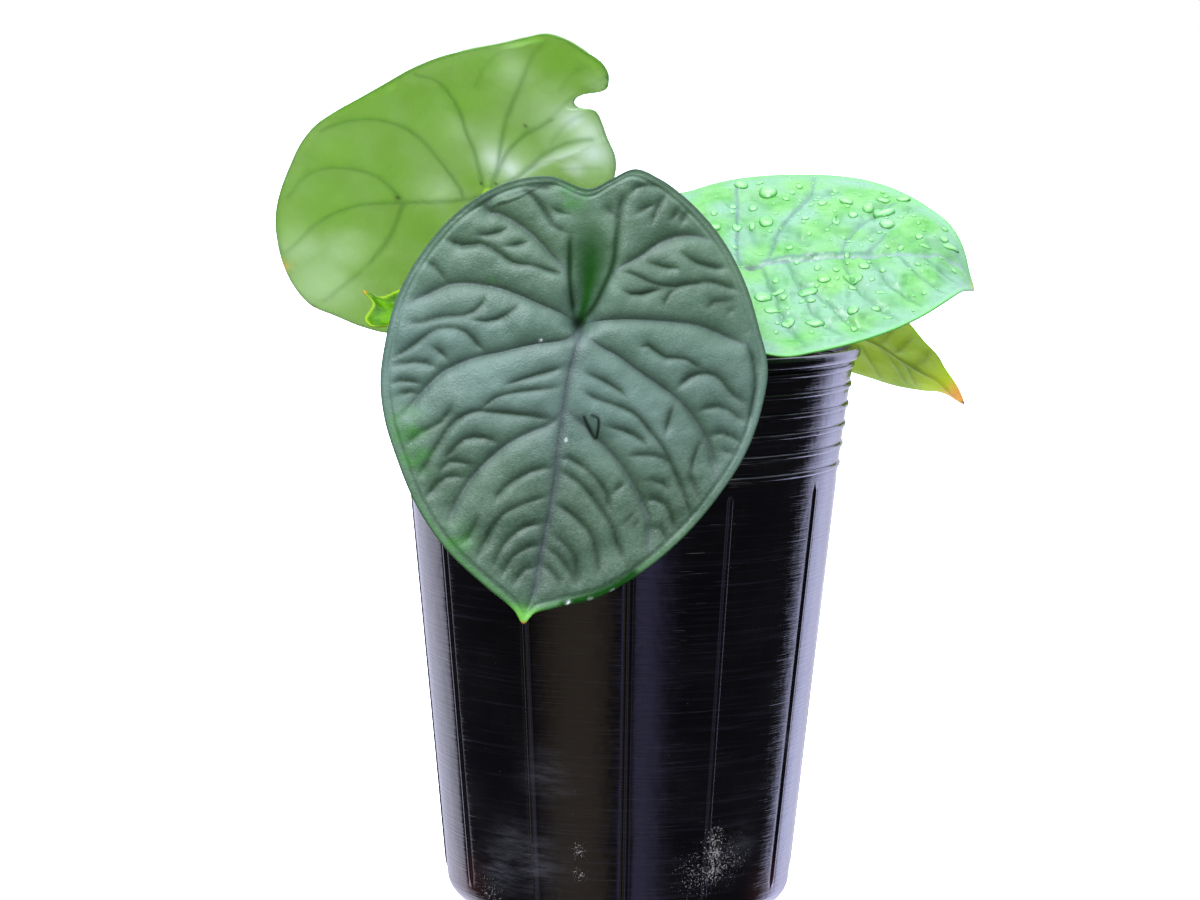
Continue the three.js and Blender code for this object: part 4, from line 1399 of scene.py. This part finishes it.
def add_stalk(name, foot_angle, route, blade, relief, finish):
    """A round section carried along a curve: wide where it sheathes the corm, and spread under the blade."""
    turn = math.radians(foot_angle)
    out = np.array([math.cos(turn), math.sin(turn), 0.0])
    foot = FOOT_CIRCLE * out + FOOT_LEVEL * UP
    origin = np.zeros((1, 2))
    top = blade.lift(*origin.T)[0] + relief(origin, np.full(1, WELL_INSIDE))[0][0]
    under = blade.heart + (top - 0.8) * blade.facing
    end = [under - 4 * blade.facing, under + 0.15 * blade.facing]
    points = [foot, foot + 4 * UP, *np.array(route, float), *end]
    rows, sides = 90, 28
    path = smooth_path(points, rows)
    tangent = np.gradient(path, axis=0)
    tangent /= np.linalg.norm(tangent, axis=1, keepdims=True)
    reach = np.concatenate([[0], np.cumsum(np.linalg.norm(np.diff(path, axis=0), axis=1))])
    radius = STALK_RADIUS + FOOT_FLARE * np.exp(-reach / FLARE_REACH)
    radius += HEAD_FLARE * np.exp(-(reach[-1] - reach) / HEAD_REACH)
    level = np.cross(UP, unit(blade.heart * [1, 1, 0] - foot * [1, 1, 0]))
    side = level - (tangent @ level)[:, None] * tangent
    side /= np.linalg.norm(side, axis=1, keepdims=True)
    front = np.cross(tangent, side)
    angle = full_turn(sides)
    rib = 1 + 0.05 * np.cos(2 * angle) + 0.03 * np.sin(3 * angle)
    ring = np.cos(angle)[:, None] * side[:, None, :] + np.sin(angle)[:, None] * front[:, None, :]
    rings = path[:, None, :] + (radius[:, None] * rib)[..., None] * ring
    points, faces = capped_rings(rings)
    along = np.repeat(reach / reach[-1], sides)
    masks = {"along": np.concatenate([along, [0.0, 1.0]])}
    make_piece(name, points, faces, finish, "stalk", name, masks)


# Sheath scales
SCALE_RADIUS = 13.4
SCALE_LEAN = 0.12
SCALE_HEIGHT = 22.0
SCALE_THICKNESS = 0.8


def add_scale(name, middle, half_width, seed, finish):
    """A thin curved scale, half_width * sqrt(1 - 0.98 t squared) wide each way at share t of its height."""
    rows, columns = 40, 24
    t = np.linspace(0, 1, rows)[:, None]
    across = np.linspace(-1, 1, columns)
    turn = np.radians(middle + half_width * np.sqrt(1 - 0.98 * t**2) * across)
    level = FOOT_LEVEL + SCALE_HEIGHT * t + 0 * across
    inner = SCALE_RADIUS + SCALE_LEAN * SCALE_HEIGHT * t
    wave = 0.25 * noise(np.stack([turn * SCALE_RADIUS, level], -1), 7.0, seed) * t
    thick = SCALE_THICKNESS * (1 - 0.45 * t)
    outer = round_axis(inner + thick + wave, turn, level)
    facing_in = round_axis(inner + wave, turn, level)
    rings = np.concatenate([outer, facing_in[:, ::-1]], 1)
    points, faces = capped_rings(rings)
    masks = {"along": np.concatenate([np.repeat(t.ravel(), 2 * columns), [0.0, 1.0]])}
    make_piece(name, points, faces, finish, "dry_sheath", name, masks)


# Water drops on the right leaf
DROP_SUNK = 0.12
DROP_RISE = 0.3


def drop_caps(blade, relief, drops):
    """Caps on the blade, each a dome over an ellipse: height = rise * (1 - share squared) ** 0.6."""
    shells, masks = [], {}
    share = np.array([1.0, 0.96, 0.88, 0.78, 0.62, 0.42, 0.2])
    rows, columns = len(share), 14
    angle = full_turn(columns)
    sunk = np.where(share == 1, DROP_SUNK, 0)
    for centre, reach_u, reach_v, lean, rise in drops:
        ring_u = share[:, None] * np.cos(angle) * reach_u
        ring_v = share[:, None] * np.sin(angle) * reach_v
        u = centre[0] + ring_u * math.cos(lean) - ring_v * math.sin(lean)
        v = centre[1] + ring_u * math.sin(lean) + ring_v * math.cos(lean)
        plan = np.stack([u.ravel(), v.ravel()], 1)
        height, below = relief(plan, np.full(len(plan), WELL_INSIDE))
        dome = np.repeat(rise * (1 - share**2) ** 0.6, columns) - np.repeat(sunk, columns)
        places = blade.place(plan, blade.lift(*plan.T) + height + dome)
        shells.append(places.reshape(rows, columns, 3))
        # Masks for the painted light inside each drop and the painted dark ring round its foot.
        below["foot"] = np.repeat(fade(share, 0.7, 0.9), columns)
        below["crown"] = np.repeat(1 - fade(share, 0.3, 0.8), columns)
        below["crown"] *= fade(-np.tile(np.cos(angle), rows), -0.6, 0.8)
        for key, values in below.items():
            masks.setdefault(key, []).append(np.concatenate([values, values[:1], values[-1:]]))
    points, faces = joined(shells)
    points.reshape(len(drops), -1, 3)[:, -2] -= DROP_SUNK * blade.facing
    return points, faces, {key: np.concatenate(values) for key, values in masks.items()}


def add_right_drops(relief, finish):
    """The drops traced in the photograph, then small ones strewn between them."""
    drops = []
    for text in RIGHT_DROPS.split():
        x, y, wide, high = [float(number) for number in text.split(",")]
        corners = right_blade.seen_at([(x, y), (x + wide / 2, y), (x, y + high / 2)])
        reach_u = np.linalg.norm(corners[2] - corners[0]) * 0.95
        reach_v = np.linalg.norm(corners[1] - corners[0]) * 1.05
        drops.append((corners[0], reach_u, reach_v, 0.0, DROP_RISE * min(reach_u, reach_v)))
    random = np.random.default_rng(71)
    outline = smooth_path(right_blade.outline, 200, closed=True)
    for place in random.uniform((-42, -38), (48, 64), (420, 2)):
        angle = math.atan2(place[1], place[0])
        turn = np.arctan2(outline[:, 1], outline[:, 0])
        edge = np.linalg.norm(outline[np.abs(np.angle(np.exp(1j * (turn - angle)))).argmin()])
        taken = min(np.linalg.norm(place - drop[0]) - drop[1] for drop in drops)
        if np.linalg.norm(place) > edge - 3 or taken < 1.0:
            continue
        size = random.uniform(0.35, 1.1) ** 1.6
        shape = random.uniform(0.75, 1.35)
        drops.append((place, size, size * shape, random.uniform(0, 3), DROP_RISE * size * min(1, shape)))
    points, faces, masks = drop_caps(right_blade, relief, drops)
    make_piece("water_drops_right", points, faces, finish, None, masks=masks)


# Studio
FLOOR_LEVEL = -0.0002


def add_floor():
    """A plain white floor that shows in the picture and lights nothing."""
    mesh = bpy.data.meshes.new("floor")
    corners = [(-6, -6), (6, -6), (6, 30), (-6, 30)]
    mesh.from_pydata([(x, y, FLOOR_LEVEL) for x, y in corners], [], [(0, 1, 2, 3)])
    finish = Finish("floor")
    mesh.materials.append(finish.done(finish.principled({
        "Base Color": colour(250, 250, 252), "Roughness": 0.9, "Specular IOR Level": 0.0,
        "Emission Color": (1, 1, 1, 1), "Emission Strength": 0.75,
    })))
    floor = added("floor", mesh)
    floor.visible_glossy = False
    floor.visible_diffuse = False
    floor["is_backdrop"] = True


def add_light(name, place, aim, size, power, tint):
    """A square soft light of the size in metres."""
    data = bpy.data.lights.new(name, "AREA")
    data.shape = "RECTANGLE"
    data.size, data.size_y = size
    data.energy = power
    data.color = tint
    back = unit(np.array(place, float) - np.array(aim, float))
    right = unit(np.cross(UP, back))
    added(name, data).matrix_world = posed(right, np.cross(back, right), back, place)


def add_world():
    """White for the camera; for the lighting, a bright wall behind, a bluish sky and a dim side in front."""
    world = bpy.data.worlds.new("studio")
    world.use_nodes = True
    bpy.context.scene.world = world
    studio = Finish.__new__(Finish)
    studio.tree = world.node_tree
    studio.tree.nodes.clear()
    place = studio.node("ShaderNodeTexCoord", output="Generated")
    parts = studio.tree.nodes.new("ShaderNodeSeparateXYZ")
    studio.tree.links.new(place.socket, parts.inputs[0])
    x, y, z = [Value(studio, output) for output in parts.outputs]
    above = z.fade(0.25, 0.7)
    below = z.fade(-0.72, -0.92)
    side = x.fade(-0.3, 0.3)
    wall = studio.mix(side, (1.5, 1.5, 1.9, 1), (2.1, 2.15, 3.2, 1))
    wall = studio.mix(y.fade(0.75, 0.95), wall, (1.0, 1.0, 1.3, 1))
    light = studio.mix(y.fade(0.44, 0.58), (0.05, 0.05, 0.06, 1), wall)
    front = y.fade(0.1, -0.3)
    violet = front * x.fade(0.06, 0.14) * x.fade(0.5, 0.2)
    light = studio.mix(violet * 0.9, light, (0.62, 0.58, 1.15, 1))
    olive = front * x.fade(-0.05, -0.2) * x.fade(-0.8, -0.5)
    light = studio.mix(olive * 0.9, light, (0.52, 0.42, 0.33, 1))
    light = studio.mix(below, light, (0.95, 0.97, 1.0, 1))
    sky = studio.mix(z.fade(0.84, 0.97), (1.9, 2.1, 2.55, 1), (4.0, 4.4, 5.4, 1))
    light = studio.mix(above, light, sky)
    seen = studio.node("ShaderNodeLightPath", output="Is Camera Ray")
    shown = studio.mix(seen, light, (1, 1, 1, 1))
    ground = studio.node("ShaderNodeBackground", {}, {"Color": shown, "Strength": 1.0})
    studio.node("ShaderNodeOutputWorld", {}, {"Surface": ground})


# The potted plant
add_camera()
add_world()
add_floor()
add_light("key", (-0.45, -1.0, 1.5), (0, 0, 0.15), (0.9, 0.9), 38, (0.90, 0.96, 1.0))
add_light("fill", (0.9, -0.9, 0.9), (0, 0, 0.2), (0.8, 0.8), 5, (1.0, 0.98, 0.95))

add_pot()
add_mix()
pebbles("bark_chips", 420, 4.6, (1.0, 0.62, 0.38), 81, bark_finish())
pebbles("white_grit", 90, 1.9, (1.0, 0.9, 0.8), 82, grit_finish())
add_corm()

reliefs = {
    "front": front_relief(), "back_left": back_left_relief(), "right": right_relief(),
    "low_right": low_right_relief(), "young": young_relief(),
}
LEAVES = [
    ("front", front_blade, front_finish, "mature_leaf", 500, (130, 40), HEART),
    ("back_left", back_left_blade, back_left_finish, "backlit_leaf", 420, (80, 90), BACK_LEFT_RING_CENTRE),
    ("right", right_blade, right_finish, "mint_leaf", 420, (110, 50), HEART),
    ("low_right", low_right_blade, low_right_finish, "olive_leaf", 300, (60, 60), LOW_RIGHT_RING_CENTRE),
    ("young", young_blade, young_finish, "young_leaf", 200, (40, 30), YOUNG_RING_CENTRE),
]
for key, blade, leaf_finish, slot, columns, rings, middle in LEAVES:
    blade_piece("blade_" + key, blade, reliefs[key], leaf_finish(), slot, columns, rings, middle)

stalk = stalk_finish()
STALKS = [
    ("front", 265, front_blade, [(-3, -17, 175), (-7, -32, 183), (-11, -50, 186.5), (-13.5, -66, 187.6)]),
    ("back_left", 125, back_left_blade, [(-11, 3, 180), (-20, -4, 194), (-32, -9, 209), (-40, -9.5, 217.5)]),
    ("right", 340, right_blade, [(14, -6, 176), (24, -13, 188), (33, -21, 194.5)]),
    ("low_right", 45, low_right_blade, [(11, 12, 176), (21, 25, 186), (33, 40, 189.5)]),
    ("young", 195, young_blade, [(-14, -6, 174), (-24, -16, 180), (-36, -29, 182.5), (-44.5, -37, 184.2)]),
]
for key, foot_angle, blade, route in STALKS:
    add_stalk("petiole_" + key, foot_angle, route, blade, reliefs[key], stalk)

sheath = sheath_finish()
add_scale("cataphyll_a", 299, 15, 91, sheath)
add_scale("cataphyll_b", 85, 18, 92, sheath)
add_right_drops(reliefs["right"], drop_finish())

bpy.context.scene.view_settings.view_transform = "Standard"

[[list(map(float, corner)) for corner in box] for box in (CAD_BOX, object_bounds())]
